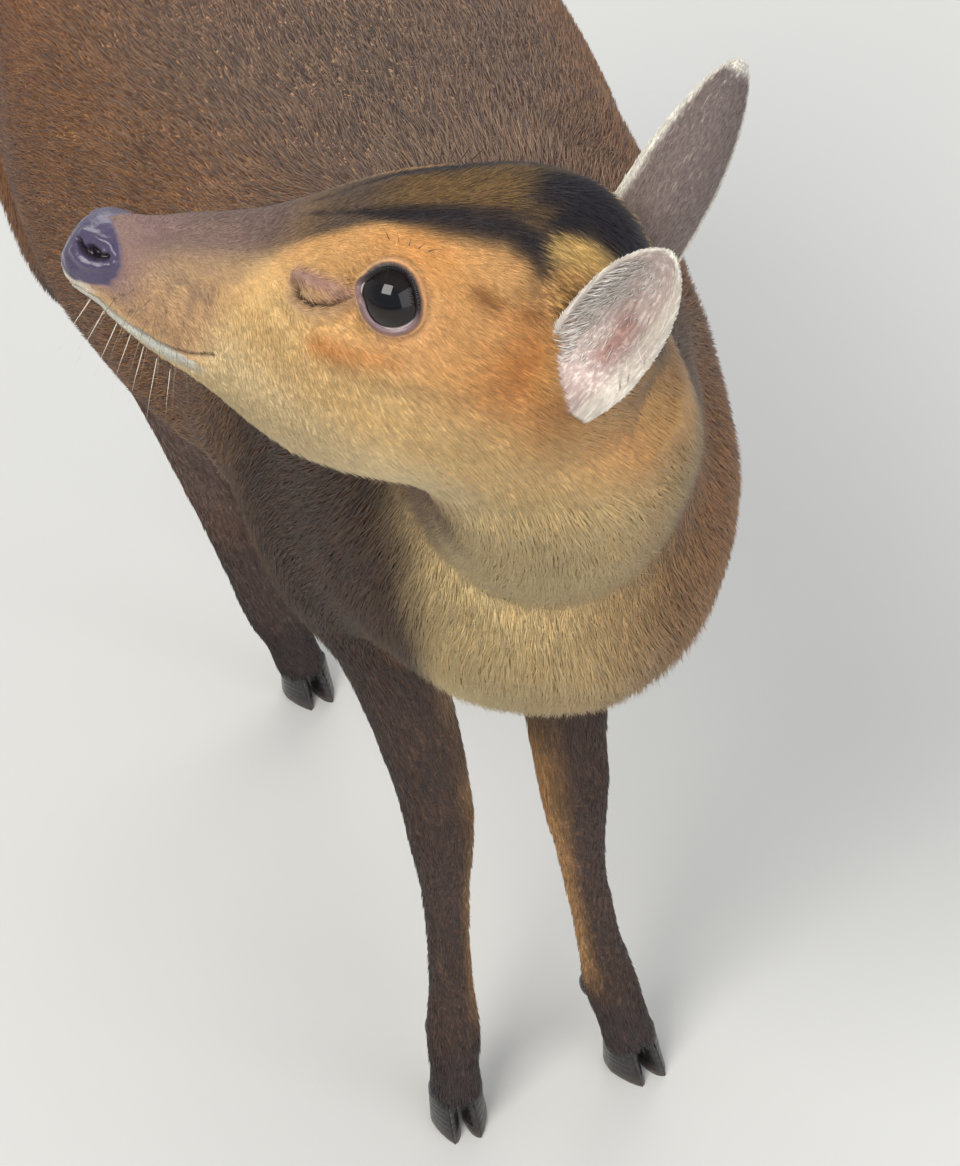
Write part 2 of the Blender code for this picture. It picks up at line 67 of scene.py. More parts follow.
NECK = [
    (0.018, 0.040, 0.375, 0.00, 0.25, 0.97, 0.078, 0.078, 0.080),
    (0.016, -0.025, 0.386, 0.05, 0.30, 0.95, 0.069, 0.066, 0.078),
    (0.013, -0.078, 0.402, 0.20, 0.25, 0.95, 0.057, 0.056, 0.068),
    (0.007, -0.118, 0.424, 0.45, 0.10, 0.90, 0.050, 0.048, 0.058),
    (0.003, -0.148, 0.450, 0.70, -0.10, 0.70, 0.045, 0.043, 0.052),
    (-0.001, -0.164, 0.480, 0.80, -0.40, 0.50, 0.040, 0.038, 0.046),
]
HEAD = [
    (0.0955, -0.0545, 0.0065, 0.0075, 0.0065, 2.1),
    (0.0930, -0.0540, 0.0105, 0.0115, 0.0105, 2.2),
    (0.0885, -0.0530, 0.0133, 0.0140, 0.0132, 2.3),
    (0.0840, -0.0525, 0.0148, 0.0150, 0.0148, 2.3),
    (0.0780, -0.0516, 0.0165, 0.0175, 0.0175, 2.3),
    (0.0660, -0.0499, 0.0190, 0.0241, 0.0235, 2.3),
    (0.0530, -0.0465, 0.0220, 0.0292, 0.0285, 2.3),
    (0.0420, -0.0412, 0.0265, 0.0325, 0.0325, 2.3),
    (0.0300, -0.0349, 0.0325, 0.0396, 0.0390, 2.3),
    (0.0160, -0.0287, 0.0385, 0.0489, 0.0480, 2.3),
    (0.0000, -0.0225, 0.0420, 0.0558, 0.0560, 2.3),
    (-0.0180, -0.0144, 0.0438, 0.0615, 0.0615, 2.3),
    (-0.0360, -0.0090, 0.0425, 0.0625, 0.0610, 2.2),
    (-0.0540, -0.0060, 0.0400, 0.0570, 0.0560, 2.1),
    (-0.0720, -0.0060, 0.0345, 0.0440, 0.0440, 2.0),
    (-0.0860, -0.0070, 0.0200, 0.0250, 0.0260, 2.0),
]
FORE_RIGHT = [
    (-0.030, 0.030, 0.400, 0.032, 0.055),
    (-0.042, 0.035, 0.340, 0.038, 0.060),
    (-0.045, 0.038, 0.300, 0.034, 0.055),
    (-0.041, 0.040, 0.270, 0.029, 0.044),
    (-0.033, 0.034, 0.240, 0.0225, 0.031),
    (-0.029, 0.028, 0.210, 0.0185, 0.0225),
    (-0.0265, 0.020, 0.180, 0.0165, 0.0180),
    (-0.0262, 0.016, 0.163, 0.0153, 0.0163),
    (-0.0272, 0.013, 0.145, 0.0140, 0.0155),
    (-0.0285, 0.013, 0.125, 0.0117, 0.0127),
    (-0.0304, 0.014, 0.095, 0.0104, 0.0115),
    (-0.0325, 0.015, 0.065, 0.0111, 0.0120),
    (-0.0340, 0.013, 0.048, 0.0122, 0.0135),
    (-0.0370, 0.008, 0.030, 0.0122, 0.0130),
    (-0.0388, 0.006, 0.012, 0.0118, 0.0130),
]
FORE_LEFT = [
    (0.045, 0.030, 0.400, 0.032, 0.055),
    (0.058, 0.035, 0.340, 0.038, 0.060),
    (0.057, 0.038, 0.300, 0.034, 0.055),
    (0.050, 0.040, 0.270, 0.029, 0.044),
    (0.0415, 0.034, 0.240, 0.0228, 0.031),
    (0.0355, 0.028, 0.210, 0.0188, 0.0225),
    (0.0318, 0.020, 0.180, 0.0170, 0.0180),
    (0.0305, 0.016, 0.163, 0.0157, 0.0163),
    (0.0292, 0.013, 0.145, 0.0141, 0.0155),
    (0.0285, 0.013, 0.125, 0.0120, 0.0127),
    (0.0300, 0.014, 0.095, 0.0104, 0.0115),
    (0.0323, 0.015, 0.065, 0.0111, 0.0120),
    (0.0340, 0.013, 0.048, 0.0122, 0.0135),
    (0.0362, 0.008, 0.030, 0.0125, 0.0130),
    (0.0390, 0.006, 0.012, 0.0122, 0.0130),
]
HIND_RIGHT = [
    (-0.045, 0.350, 0.430, 0.042, 0.075),
    (-0.060, 0.330, 0.370, 0.047, 0.080),
    (-0.074, 0.312, 0.315, 0.042, 0.062),
    (-0.080, 0.325, 0.270, 0.030, 0.042),
    (-0.077, 0.352, 0.235, 0.0195, 0.027),
    (-0.069, 0.372, 0.205, 0.0155, 0.0215),
    (-0.060, 0.360, 0.175, 0.0138, 0.0170),
    (-0.0495, 0.343, 0.130, 0.0125, 0.0138),
    (-0.0385, 0.326, 0.085, 0.0124, 0.0134),
    (-0.0295, 0.315, 0.052, 0.0145, 0.0150),
    (-0.0245, 0.308, 0.034, 0.0135, 0.0140),
    (-0.0200, 0.304, 0.012, 0.0122, 0.0135),
]
HIND_LEFT = [
    (-x + 0.016 * (1 - min(1.0, z / 0.21)), y + 0.045 * (1 - min(1.0, z / 0.30)), z, a, b)
    for x, y, z, a, b in HIND_RIGHT
]
FEET = {
    "front_right": (-0.0388, 0.0070, -4.0),
    "front_left": (0.0393, 0.0075, 12.0),
    "hind_right": (-0.0195, 0.3040, 8.0),
    "hind_left": (0.0345, 0.3470, 4.0),
}
LEGS = {
    "front_right": FORE_RIGHT,
    "front_left": FORE_LEFT,
    "hind_right": HIND_RIGHT,
    "hind_left": HIND_LEFT,
}
PARTS = ("trunk", "neck", "head", "front_right", "front_left", "hind_right", "hind_left", "tail")


# ------------------------------------------------------------------ small tools
def unit(v):
    v = np.asarray(v, float)
    return v / (np.linalg.norm(v, axis=-1, keepdims=True) + 1e-12)


def ramp(a, b, x):
    """0 at a, 1 at b, smooth between."""
    t = np.clip((np.asarray(x, float) - a) / (b - a), 0, 1)
    return t * t * (3 - 2 * t)


def hump(x, mid, width):
    return np.exp(-(((x - mid) / width) ** 2))


def srgb(r, g, b):
    c = np.array((r, g, b), float) / 255
    return np.where(c <= 0.04045, c / 12.92, ((c + 0.055) / 1.055) ** 2.4)


def noise3(p, scale, seed=0):
    """Smooth value noise from -1 to 1."""
    q = np.asarray(p, float) * scale + seed * 17.31
    i = np.floor(q).astype(np.int64)
    f = q - i
    u = f * f * (3 - 2 * f)
    out = np.zeros(len(q))
    for dx in (0, 1):
        for dy in (0, 1):
            for dz in (0, 1):
                h = ((i[:, 0] + dx) * 73856093) ^ ((i[:, 1] + dy) * 19349663) ^ ((i[:, 2] + dz) * 83492791)
                h = (h ^ (seed * 2654435761)) & 0xFFFFFFFF
                h = ((h ^ (h >> 13)) * 1274126177) & 0xFFFFFFFF
                h = ((h ^ (h >> 16)) * 668265263) & 0xFFFFFFFF
                value = ((h >> 8) & 0xFFFF) / 32767.5 - 1
                wx = u[:, 0] if dx else 1 - u[:, 0]
                wy = u[:, 1] if dy else 1 - u[:, 1]
                wz = u[:, 2] if dz else 1 - u[:, 2]
                out += value * wx * wy * wz
    return out


def to_line(p, points):
    """Distance of each point from a run of straight stretches, and how far along it, 0 to 1."""
    points = np.asarray(points, float)
    best, place = np.full(len(p), np.inf), np.zeros(len(p))
    count = len(points) - 1
    for k in range(count):
        a, b = points[k], points[k + 1]
        t = np.clip(((p - a) @ (b - a)) / max(1e-12, (b - a) @ (b - a)), 0, 1)
        d = np.linalg.norm(p - (a + t[:, None] * (b - a)), axis=1)
        near = d < best
        best[near] = d[near]
        place[near] = (k + t[near]) / count
    return best, place


def smooth_rows(rows, count):
    table = np.array(rows, float)
    last = len(table) - 1
    ends = np.vstack([2 * table[0] - table[1], table, 2 * table[-1] - table[-2]])
    at = np.linspace(0, last, count)
    i = np.clip(np.floor(at).astype(int), 0, last - 1)
    f = (at - i)[:, None]
    p0, p1, p2, p3 = ends[i], ends[i + 1], ends[i + 2], ends[i + 3]
    return 0.5 * (2 * p1 + (p2 - p0) * f + (2 * p0 - 5 * p1 + 4 * p2 - p3) * f**2 + (3 * p1 - p0 - 3 * p2 + p3) * f**3)


def oval(middle, side, up, half, rise, drop, full, count):
    turn = np.linspace(0, 2 * np.pi, count, endpoint=False)
    x = np.sign(np.cos(turn)) * np.abs(np.cos(turn)) ** (2 / full)
    y = np.sign(np.sin(turn)) * np.abs(np.sin(turn)) ** (2 / full)
    reach = np.where(y >= 0, rise, drop)
    return np.asarray(middle) + np.outer(x * half, side) + np.outer(y * reach, up)


def head_axes():
    turn, lift, roll = (math.radians(a) for a in (HEAD_TURN, HEAD_RAISE, HEAD_ROLL))
    nose = Vector((-math.sin(turn) * math.cos(lift), -math.cos(turn) * math.cos(lift), math.sin(lift)))
    left = nose.cross(Vector((0, 0, 1))).normalized() * -1
    up = nose.cross(left) * -1 if nose.cross(left).z < 0 else nose.cross(left)
    left, up = left * math.cos(roll) + up * math.sin(roll), up * math.cos(roll) - left * math.sin(roll)
    return np.array(nose), np.array(left), np.array(up)


NOSE, LEFT, UP = head_axes()


def on_head(along, side, up):
    return HEAD_AT + NOSE * along + LEFT * side + UP * up


def in_head(p):
    """Along the face, to its left, up."""
    q = p - HEAD_AT
    return np.stack([q @ NOSE, q @ LEFT, q @ UP], -1)


def new_object(name, points, faces, mats, smooth=True):
    """Points in the feet-centred plan; faces as one array for each count of corners."""
    mesh = bpy.data.meshes.new(name)
    groups = faces if isinstance(faces, list) else [faces]
    groups = [np.asarray(g, np.int32) for g in groups if len(g)]
    total = sum(len(g) for g in groups)
    mesh.vertices.add(len(points))
    mesh.vertices.foreach_set("co", (np.asarray(points) + SHIFT).astype(np.float32).ravel())
    loops = np.concatenate([g.ravel() for g in groups])
    counts = np.concatenate([np.full(len(g), g.shape[1], np.int32) for g in groups])
    mesh.loops.add(len(loops))
    mesh.loops.foreach_set("vertex_index", loops)
    mesh.polygons.add(total)
    starts = np.concatenate([[0], np.cumsum(counts)[:-1]]).astype(np.int32)
    mesh.polygons.foreach_set("loop_start", starts)
    mesh.polygons.foreach_set("use_smooth", np.full(total, smooth))
    mesh.update(calc_edges=True)
    obj = bpy.data.objects.new(name, mesh)
    bpy.context.scene.collection.objects.link(obj)
    for mat in mats if isinstance(mats, (list, tuple)) else [mats]:
        mesh.materials.append(mat)
    return obj


def set_colour(obj, name, colours):
    layer = obj.data.color_attributes.new(name, "FLOAT_COLOR", "POINT")
    rgba = np.ones((len(colours), 4), np.float32)
    rgba[:, :3] = np.clip(colours, 0, 1)
    layer.data.foreach_set("color", rgba.ravel())


def set_value(obj, name, values):
    layer = obj.data.attributes.new(name, "FLOAT", "POINT")
    layer.data.foreach_set("value", np.asarray(values, np.float32))


def set_vector(obj, name, values):
    layer = obj.data.attributes.new(name, "FLOAT_VECTOR", "POINT")
    layer.data.foreach_set("vector", np.asarray(values, np.float32).ravel())


def loft_faces(rings, around, start=0, close=True, ends=(True, True)):
    """Quads between rings of points."""
    quads = []
    k = np.arange(around if close else around - 1)
    n = (k + 1) % around
    for r in range(rings - 1):
        a, b = start + r * around, start + (r + 1) * around
        quads.append(np.stack([a + k, a + n, b + n, b + k], 1))
    return np.concatenate(quads)


# ------------------------------------------------------------------ where each part runs
def axis_samples():
    """For each part: places on its middle line, the way the hair lies there, and its thickness."""
    found = {}
    rows = smooth_rows(TRUNK, 60)
    c = np.stack([rows[:, 1], rows[:, 0], rows[:, 2] + 0.35 * (rows[:, 4] - rows[:, 5])], 1)
    found["trunk"] = (c, np.tile((0.0, 1.0, 0.0), (60, 1)), (rows[:, 3] + rows[:, 4] + rows[:, 5]) / 3)
    rows = smooth_rows(NECK, 36)
    run = unit(np.gradient(rows[:, :3], axis=0))
    found["neck"] = (rows[:, :3], -run, (rows[:, 6] + rows[:, 7] + rows[:, 8]) / 3)
    rows = smooth_rows(HEAD, 60)
    c = HEAD_AT + np.outer(rows[:, 0], NOSE) + np.outer(rows[:, 1] + 0.5 * (rows[:, 3] - rows[:, 4]), UP)
    found["head"] = (c, np.tile(-NOSE, (60, 1)), (rows[:, 2] + rows[:, 3] + rows[:, 4]) / 3)
    for name, table in LEGS.items():
        rows = smooth_rows(table, 52)
        run = unit(np.gradient(rows[:, :3], axis=0))
        found[name] = (rows[:, :3], run, (rows[:, 3] + rows[:, 4]) / 2)
    v = np.linspace(0, 1, 14)
    y = 0.412 + 0.046 * np.sin(np.minimum(1, v * 1.7) * np.pi / 2) + 0.004 * v
    c = np.stack([0 * v, y, 0.441 - TAIL_LENGTH * v], 1)
    found["tail"] = (c, unit(np.gradient(c, axis=0)), np.full(14, 0.016))
    return found


AXES = axis_samples()


def parts_at(p):
    """Share of each part at each point, the run of the hair, and the nearest sample of each part."""
    reach = np.empty((len(p), len(PARTS)))
    runs = np.empty((len(p), len(PARTS), 3))
    index = np.empty((len(p), len(PARTS)), int)
    for j, name in enumerate(PARTS):
        c, run, radius = AXES[name]
        best = np.full(len(p), np.inf)
        which = np.zeros(len(p), int)
        for i in range(len(c)):
            d = ((p - c[i]) ** 2).sum(1) / radius[i] ** 2
            near = d < best
            best[near] = d[near]
            which[near] = i
        reach[:, j] = np.sqrt(best)
        runs[:, j] = run[which]
        index[:, j] = which
    share = np.maximum(reach, 0.3) ** -9.0
    share /= share.sum(1, keepdims=True)
    return share, runs, index


def lie_of_hair(p, normal, share, runs):
    """The way the coat lies, along the skin."""
    runs = runs.copy()
    x, y, z = p.T
    front = ramp(0.02, -0.09, y)
    rump = ramp(0.35, 0.43, y)
    flank = np.clip(np.abs(normal[:, 0]), 0, 1) * ramp(-0.5, 0.2, normal[:, 2] + 0.5)
    runs[:, 0] = np.stack([0.10 * np.sign(x) * front, 1 - 0.75 * front - 0.45 * rump, -0.28 * flank - 1.0 * front - 0.9 * rump], 1)
    h = in_head(p)
    side = np.sign(h[:, 1])[:, None]
    # on the face: back from the nose, parting over the brow, down the cheek, up to the ears
    cheek = ramp(0.012, 0.034, np.abs(h[:, 1])) * ramp(-0.005, -0.030, h[:, 2]) * ramp(0.08, 0.03, h[:, 0])
    brow = ramp(0.03, -0.03, h[:, 0]) * ramp(-0.01, 0.02, h[:, 2])
    runs[:, 2] = -NOSE - UP * (0.45 * cheek)[:, None] + LEFT * side * (0.20 * brow)[:, None] + UP * (0.10 * brow)[:, None]
    total = (runs * share[:, :, None]).sum(1)
    wave = np.stack([noise3(p, 38, 3), noise3(p, 38, 4), noise3(p, 38, 5)], 1)
    total = unit(total) + 0.16 * wave
    total -= normal * (total * normal).sum(1, keepdims=True)
    return unit(total)




# ------------------------------------------------------------------ skin
def grown_form():
    """Trunk, neck, head and limbs run together, as quads."""
    bm = bmesh.new()

    def loft(rings):
        loops = [[bm.verts.new(p) for p in ring] for ring in rings]
        for a, b in zip(loops, loops[1:]):
            n = len(a)
            for k in range(n):
                bm.faces.new((a[k], a[(k + 1) % n], b[(k + 1) % n], b[k]))
        bm.faces.new(loops[0][::-1])
        bm.faces.new(loops[-1])

    loft([oval((r[1], r[0], r[2]), (1, 0, 0), (0, 0, 1), *r[3:7], 64) for r in smooth_rows(TRUNK, 80)])
    rows = smooth_rows(NECK, 44)
    run = unit(np.gradient(rows[:, :3], axis=0))
    nape = unit(rows[:, 3:6] - run * (rows[:, 3:6] * run).sum(1, keepdims=True))
    loft([oval(r[:3], np.cross(d, n), n, r[6], r[7], r[8], 2.1, 48) for r, d, n in zip(rows, run, nape)])
    loft([oval(on_head(r[0], 0, r[1]), LEFT, UP, *r[2:6], 52) for r in smooth_rows(HEAD, 80)])
    for table in LEGS.values():
        rows = smooth_rows(table, 70)
        run = unit(np.gradient(rows[:, :3], axis=0))
        side = unit(np.array((1.0, 0, 0)) - run * run[:, :1])
        loft([oval(r[:3], s, np.cross(d, s), r[3], r[4], r[4], 2.1, 28) for r, d, s in zip(rows, run, side)])
    bmesh.ops.recalc_face_normals(bm, faces=bm.faces)
    mesh = bpy.data.meshes.new("form")
    bm.to_mesh(mesh)
    bm.free()
    obj = bpy.data.objects.new("form", mesh)
    bpy.context.scene.collection.objects.link(obj)
    grow = obj.modifiers.new("Grow", "REMESH")
    grow.mode = "VOXEL"
    grow.voxel_size = 0.0040
    relax = obj.modifiers.new("Relax", "SMOOTH")
    relax.factor = 0.5
    relax.iterations = 7
    graph = bpy.context.evaluated_depsgraph_get()
    made = bpy.data.meshes.new_from_object(obj.evaluated_get(graph))
    bpy.data.objects.remove(obj, do_unlink=True)
    # the crease between throat and chest is filled like a stretched hide, never lowered elsewhere
    points = np.array([v.co for v in made.vertices])
    made.calc_loop_triangles()
    faces = np.array([t.vertices for t in made.loop_triangles])
    share, _, _ = parts_at(points)
    h = in_head(points)
    where = np.clip(share[:, 1] * 1.6 + share[:, 0] * ramp(0.02, -0.04, points[:, 1]) + 0.8 * ramp(0.35, 0.1, share[:, 2]) * share[:, 2], 0, 1)
    where = where * ramp(0.02, -0.02, points[:, 1]) * ramp(0.0, -0.03, h[:, 0])
    points = filled(points, faces, where, 420)
    made.vertices.foreach_set("co", points.astype(np.float32).ravel())
    # twice as fine on neck and head, four times on the face, eight times on nose, lips and eyes
    bm = bmesh.new()
    bm.from_mesh(made)
    bpy.data.meshes.remove(made)
    for step, low in ((0, (-0.100, -0.090)), (1, (-0.066, -0.080)), (2, (0.0, 0.0))):
        edges = []
        for e in bm.edges:
            q = (e.verts[0].co + e.verts[1].co) / 2
            h = in_head(np.array(q))
            if h[0] > 0.12 or abs(h[1]) > 0.11:
                continue
            if step == 2:
                if abs(h[1]) > 0.055 or not -0.085 < h[2] < 0.06:
                    continue
                if h[0] > 0.074 or (h[0] > 0.030 and h[2] < -0.044 and abs(h[1]) > 0.006) or (-0.020 < h[0] < 0.034 and abs(h[1]) > 0.020 and -0.022 < h[2] < 0.022):
                    edges.append(e)
                continue
            if h[0] > low[0] and h[2] > low[1] + (0.35 * (-0.03 - h[0]) if h[0] < -0.03 else 0.0):
                edges.append(e)
        bmesh.ops.subdivide_edges(bm, edges=edges, cuts=1, use_grid_fill=True)
    bmesh.ops.triangulate(bm, faces=[f for f in bm.faces if len(f.verts) > 4])
    points = np.array([v.co for v in bm.verts])
    quads = np.array([[v.index for v in f.verts] for f in bm.faces if len(f.verts) == 4])
    tris = np.array([[v.index for v in f.verts] for f in bm.faces if len(f.verts) == 3]).reshape(-1, 3)
    bm.free()
    return points, quads, tris


def all_tris(quads, tris):
    return np.concatenate([quads[:, [0, 1, 2]], quads[:, [0, 2, 3]], tris])


def normals_of(points, faces):
    n = np.cross(points[faces[:, 1]] - points[faces[:, 0]], points[faces[:, 2]] - points[faces[:, 0]])
    out = np.zeros_like(points)
    for k in range(3):
        for axis in range(3):
            out[:, axis] += np.bincount(faces[:, k], n[:, axis], len(points))
    return unit(out)


def relaxed(points, faces, where, passes, factor=0.5):
    ends = np.concatenate([faces[:, [0, 1]], faces[:, [1, 2]], faces[:, [2, 0]]])
    ends = np.unique(np.sort(ends, axis=1), axis=0)
    both = np.concatenate([ends, ends[:, ::-1]])
    count = np.bincount(both[:, 0], minlength=len(points))[:, None].clip(1)
    for _ in range(passes):
        mean = np.stack([np.bincount(both[:, 0], points[both[:, 1], k], len(points)) for k in range(3)], 1) / count
        points = points + (mean - points) * (factor * where)[:, None]
    return points


def filled(points, faces, where, passes):
    """Moves points outward only, where their neighbours stand proud of them."""
    ends = np.concatenate([faces[:, [0, 1]], faces[:, [1, 2]], faces[:, [2, 0]]])
    ends = np.unique(np.sort(ends, axis=1), axis=0)
    both = np.concatenate([ends, ends[:, ::-1]])
    count = np.bincount(both[:, 0], minlength=len(points))[:, None].clip(1)
    for step in range(passes):
        if step % 15 == 0:
            normal = normals_of(points, faces)
        mean = np.stack([np.bincount(both[:, 0], points[both[:, 1], k], len(points)) for k in range(3)], 1) / count
        out = ((mean - points) * normal).sum(1)
        points = points + normal * (np.maximum(out, 0) * where)[:, None]
    return points


def coat_depth(h, share, p, normal):
    """How far the skin lies under the tips of the coat."""
    head = share[:, 2]
    face = 0.0012 + 0.0020 * ramp(0.030, -0.03, h[:, 0]) + 0.0010 * ramp(-0.02, -0.05, h[:, 2])
    face = face * ramp(0.090, 0.075, h[:, 0]) + 0.0003
    leg = share[:, 3:7].sum(1)
    shin = 0.0012 + 0.0026 * ramp(0.20, 0.29, p[:, 2])
    return head * face + leg * shin + share[:, 0] * 0.0032 + share[:, 1] * 0.0040 + share[:, 7] * 0.004


# hollows and swellings of the body: middle, reach, height in millimetres; the same on both sides
BODY_FORM = [
    ((0.088, 0.048, 0.372), (0.050, 0.030, 0.055), 2.2),
    ((0.072, -0.030, 0.312), (0.030, 0.026, 0.030), 2.2),
    ((0.098, 0.104, 0.330), (0.050, 0.020, 0.075), -4.5),
    ((0.110, 0.190, 0.320), (0.050, 0.050, 0.060), 1.0),
    ((0.110, 0.272, 0.385), (0.050, 0.030, 0.045), -5.5),
    ((0.100, 0.345, 0.360), (0.050, 0.045, 0.060), 1.8),
    ((0.075, 0.262, 0.285), (0.040, 0.017, 0.030), -5.0),
    ((0.080, 0.062, 0.268), (0.020, 0.016, 0.018), 2.2),
    ((0.060, -0.070, 0.378), (0.025, 0.030, 0.020), -2.5),
    ((0.034, 0.200, 0.470), (0.012, 0.110, 0.020), -1.4),
    ((0.045, 0.395, 0.430), (0.025, 0.030, 0.030), -2.5),
    ((0.030, 0.420, 0.330), (0.020, 0.030, 0.050), -3.0),
    ((0.062, 0.020, 0.440), (0.020, 0.040, 0.018), -1.8),
]


def body_shape(p, normal, share):
    """Muscle and bone under the coat of the trunk and the limbs."""
    lift = np.zeros(len(p))
    middle = 0.012 * ramp(0.20, 0.0, p[:, 1])
    q = p.copy()
    q[:, 0] = np.abs(p[:, 0] - middle)
    trunk = share[:, 0] + share[:, 3:7].sum(1) * ramp(0.20, 0.26, p[:, 2])
    for centre, reach, height in BODY_FORM:
        d = (((q - centre) / reach) ** 2).sum(1)
        lift += height * 0.001 * np.exp(-d) * np.clip(trunk + share[:, 1], 0, 1)
    lift += 0.0007 * noise3(p, 28, 11) * np.clip(share[:, 0] + share[:, 1], 0, 1)
    for j, name in enumerate(PARTS):
        if name not in LEGS:
            continue
        c, run, radius = AXES[name]
        which = np.argmin(((p[:, None, 2] - c[None, :, 2]) ** 2), axis=1) if len(p) < 4000 else None
        if which is None:
            order = np.argsort(c[:, 2])
            which = order[np.clip(np.searchsorted(c[order, 2], p[:, 2]), 0, len(c) - 1)]
        off = p - c[which]
        turn = np.degrees(np.arctan2(np.abs(off[:, 0]), -off[:, 1]))  # 0 in front, 180 behind
        z = p[:, 2]
        on = share[:, j]
        cannon = ramp(0.040, 0.060, z) * ramp(0.150, 0.125, z) if name.startswith("front") else ramp(0.045, 0.065, z) * ramp(0.180, 0.155, z)
        lift -= on * cannon * 0.0016 * hump(turn, 112, 17)
        lift += on * cannon * 0.0005 * hump(turn, 165, 30)
        if name.startswith("hind"):
            lift -= on * 0.0042 * hump(z, 0.236, 0.022) * hump(turn, 118, 22)
            lift += on * 0.0012 * hump(z, 0.205, 0.010) * hump(turn, 180, 40)
            lift += on * 0.0010 * hump(z, 0.168, 0.012) * hump(turn, 80, 30)
        else:
            lift += on * 0.0011 * hump(z, 0.158, 0.011) * hump(turn, 25, 40)
            lift += on * 0.0012 * hump(z, 0.163, 0.007) * hump(turn, 175, 30)
            lift -= on * 0.0010 * hump(z, 0.175, 0.006) * hump(turn, 20, 40)
        lift += on * 0.0011 * hump(z, 0.046, 0.009) * hump(turn, 160, 50)
        lift -= on * 0.0009 * hump(z, 0.030, 0.006)
    return p + normal * lift[:, None]




# ------------------------------------------------------------------ head: shape of the face
# Places on the head are millimetres along the face, to the side, up; both sides alike.
EYE_AXIS = unit((0.05, 0.93, 0.36))
EYE_FORE = unit(np.array((1.0, 0, 0)) - EYE_AXIS * EYE_AXIS[0])
EYE_UP = np.cross(EYE_FORE, EYE_AXIS) * (1 if np.cross(EYE_FORE, EYE_AXIS)[2] > 0 else -1)
NOSTRIL = [(92.0, 8.2, -47.6), (88.6, 11.0, -48.4), (84.6, 12.8, -47.6), (81.6, 13.4, -45.0)]
NOSTRIL_TOP = [(88.2, 10.2, -45.8), (83.6, 11.8, -43.6)]
MOUTH = [(95.5, 0.0, -60.4), (91.0, 6.5, -61.2), (84.0, 11.0, -63.0), (76.0, 13.2, -64.2), (68.0, 15.2, -64.6), (61.0, 17.2, -63.4), (53.0, 19.2, -61.6), (46.0, 22.5, -58.4), (39.0, 27.0, -51.0)]
GLAND = [(27.0, 29.0, -9.4), (24.0, 31.0, -12.0), (19.5, 33.4, -11.0), (15.0, 35.0, -7.2), (12.0, 35.2, -2.0)]
GLAND_FOLD = [(29.0, 28.0, -7.0), (23.5, 29.8, -5.0), (17.0, 32.4, -2.6), (11.0, 34.8, 0.5)]
BROW = [(4.0, 27.0, 19.5), (-8.0, 30.0, 23.5), (-20.0, 31.5, 27.0), (-31.0, 31.8, 30.0)]
KNOB = (-30.5, 31.5, 30.5)
STRIPE = [(37.0, 3.5, -3.0), (30.0, 6.5, 4.0), (24.0, 9.0, 10.0), (12.7, 13.6, 20.4), (2.1, 16.8, 28.6), (-9.0, 20.0, 35.2), (-22.0, 21.5, 41.6), (-32.0, 25.6, 42.0), (-35.5, 28.8, 38.6)]
JAW = [(46.0, 18.0, -66.0), (20.0, 26.0, -74.0), (-8.0, 31.0, -76.0), (-32.0, 33.0, -70.0), (-52.0, 33.0, -52.0)]


def mirrored(h):
    q = h * 1000
    q[:, 1] = np.abs(q[:, 1])
    return q


def eye_angles(q):
    """Distance from the middle of the eye, angle from its axis, and turn about it (0 forward, 90 up), in mirrored head places."""
    off = q - np.array(EYE_PLACE) * 1000
    r = np.linalg.norm(off, axis=1)
    a = np.degrees(np.arccos(np.clip((off @ EYE_AXIS) / (r + 1e-9), -1, 1)))
    turn = np.arctan2(off @ EYE_UP, off @ EYE_FORE)
    return r, a, turn


def lid_angle(turn):
    """Half opening of the lids, from the eye's axis, in degrees: long and drawn out to the inner corner in front."""
    lean = turn - math.radians(-128)
    base = 47.5 + 6.0 * np.cos(turn) - 5.5 * np.sin(turn) + 5.0 * np.cos(2 * lean)
    corner = 17.0 * np.exp(-(((np.angle(np.exp(1j * (turn - math.radians(-12))))) / 0.26) ** 2))
    rear = 2.5 * np.exp(-(((np.angle(np.exp(1j * (turn - math.radians(200))))) / 0.5) ** 2))
    return base + corner + rear


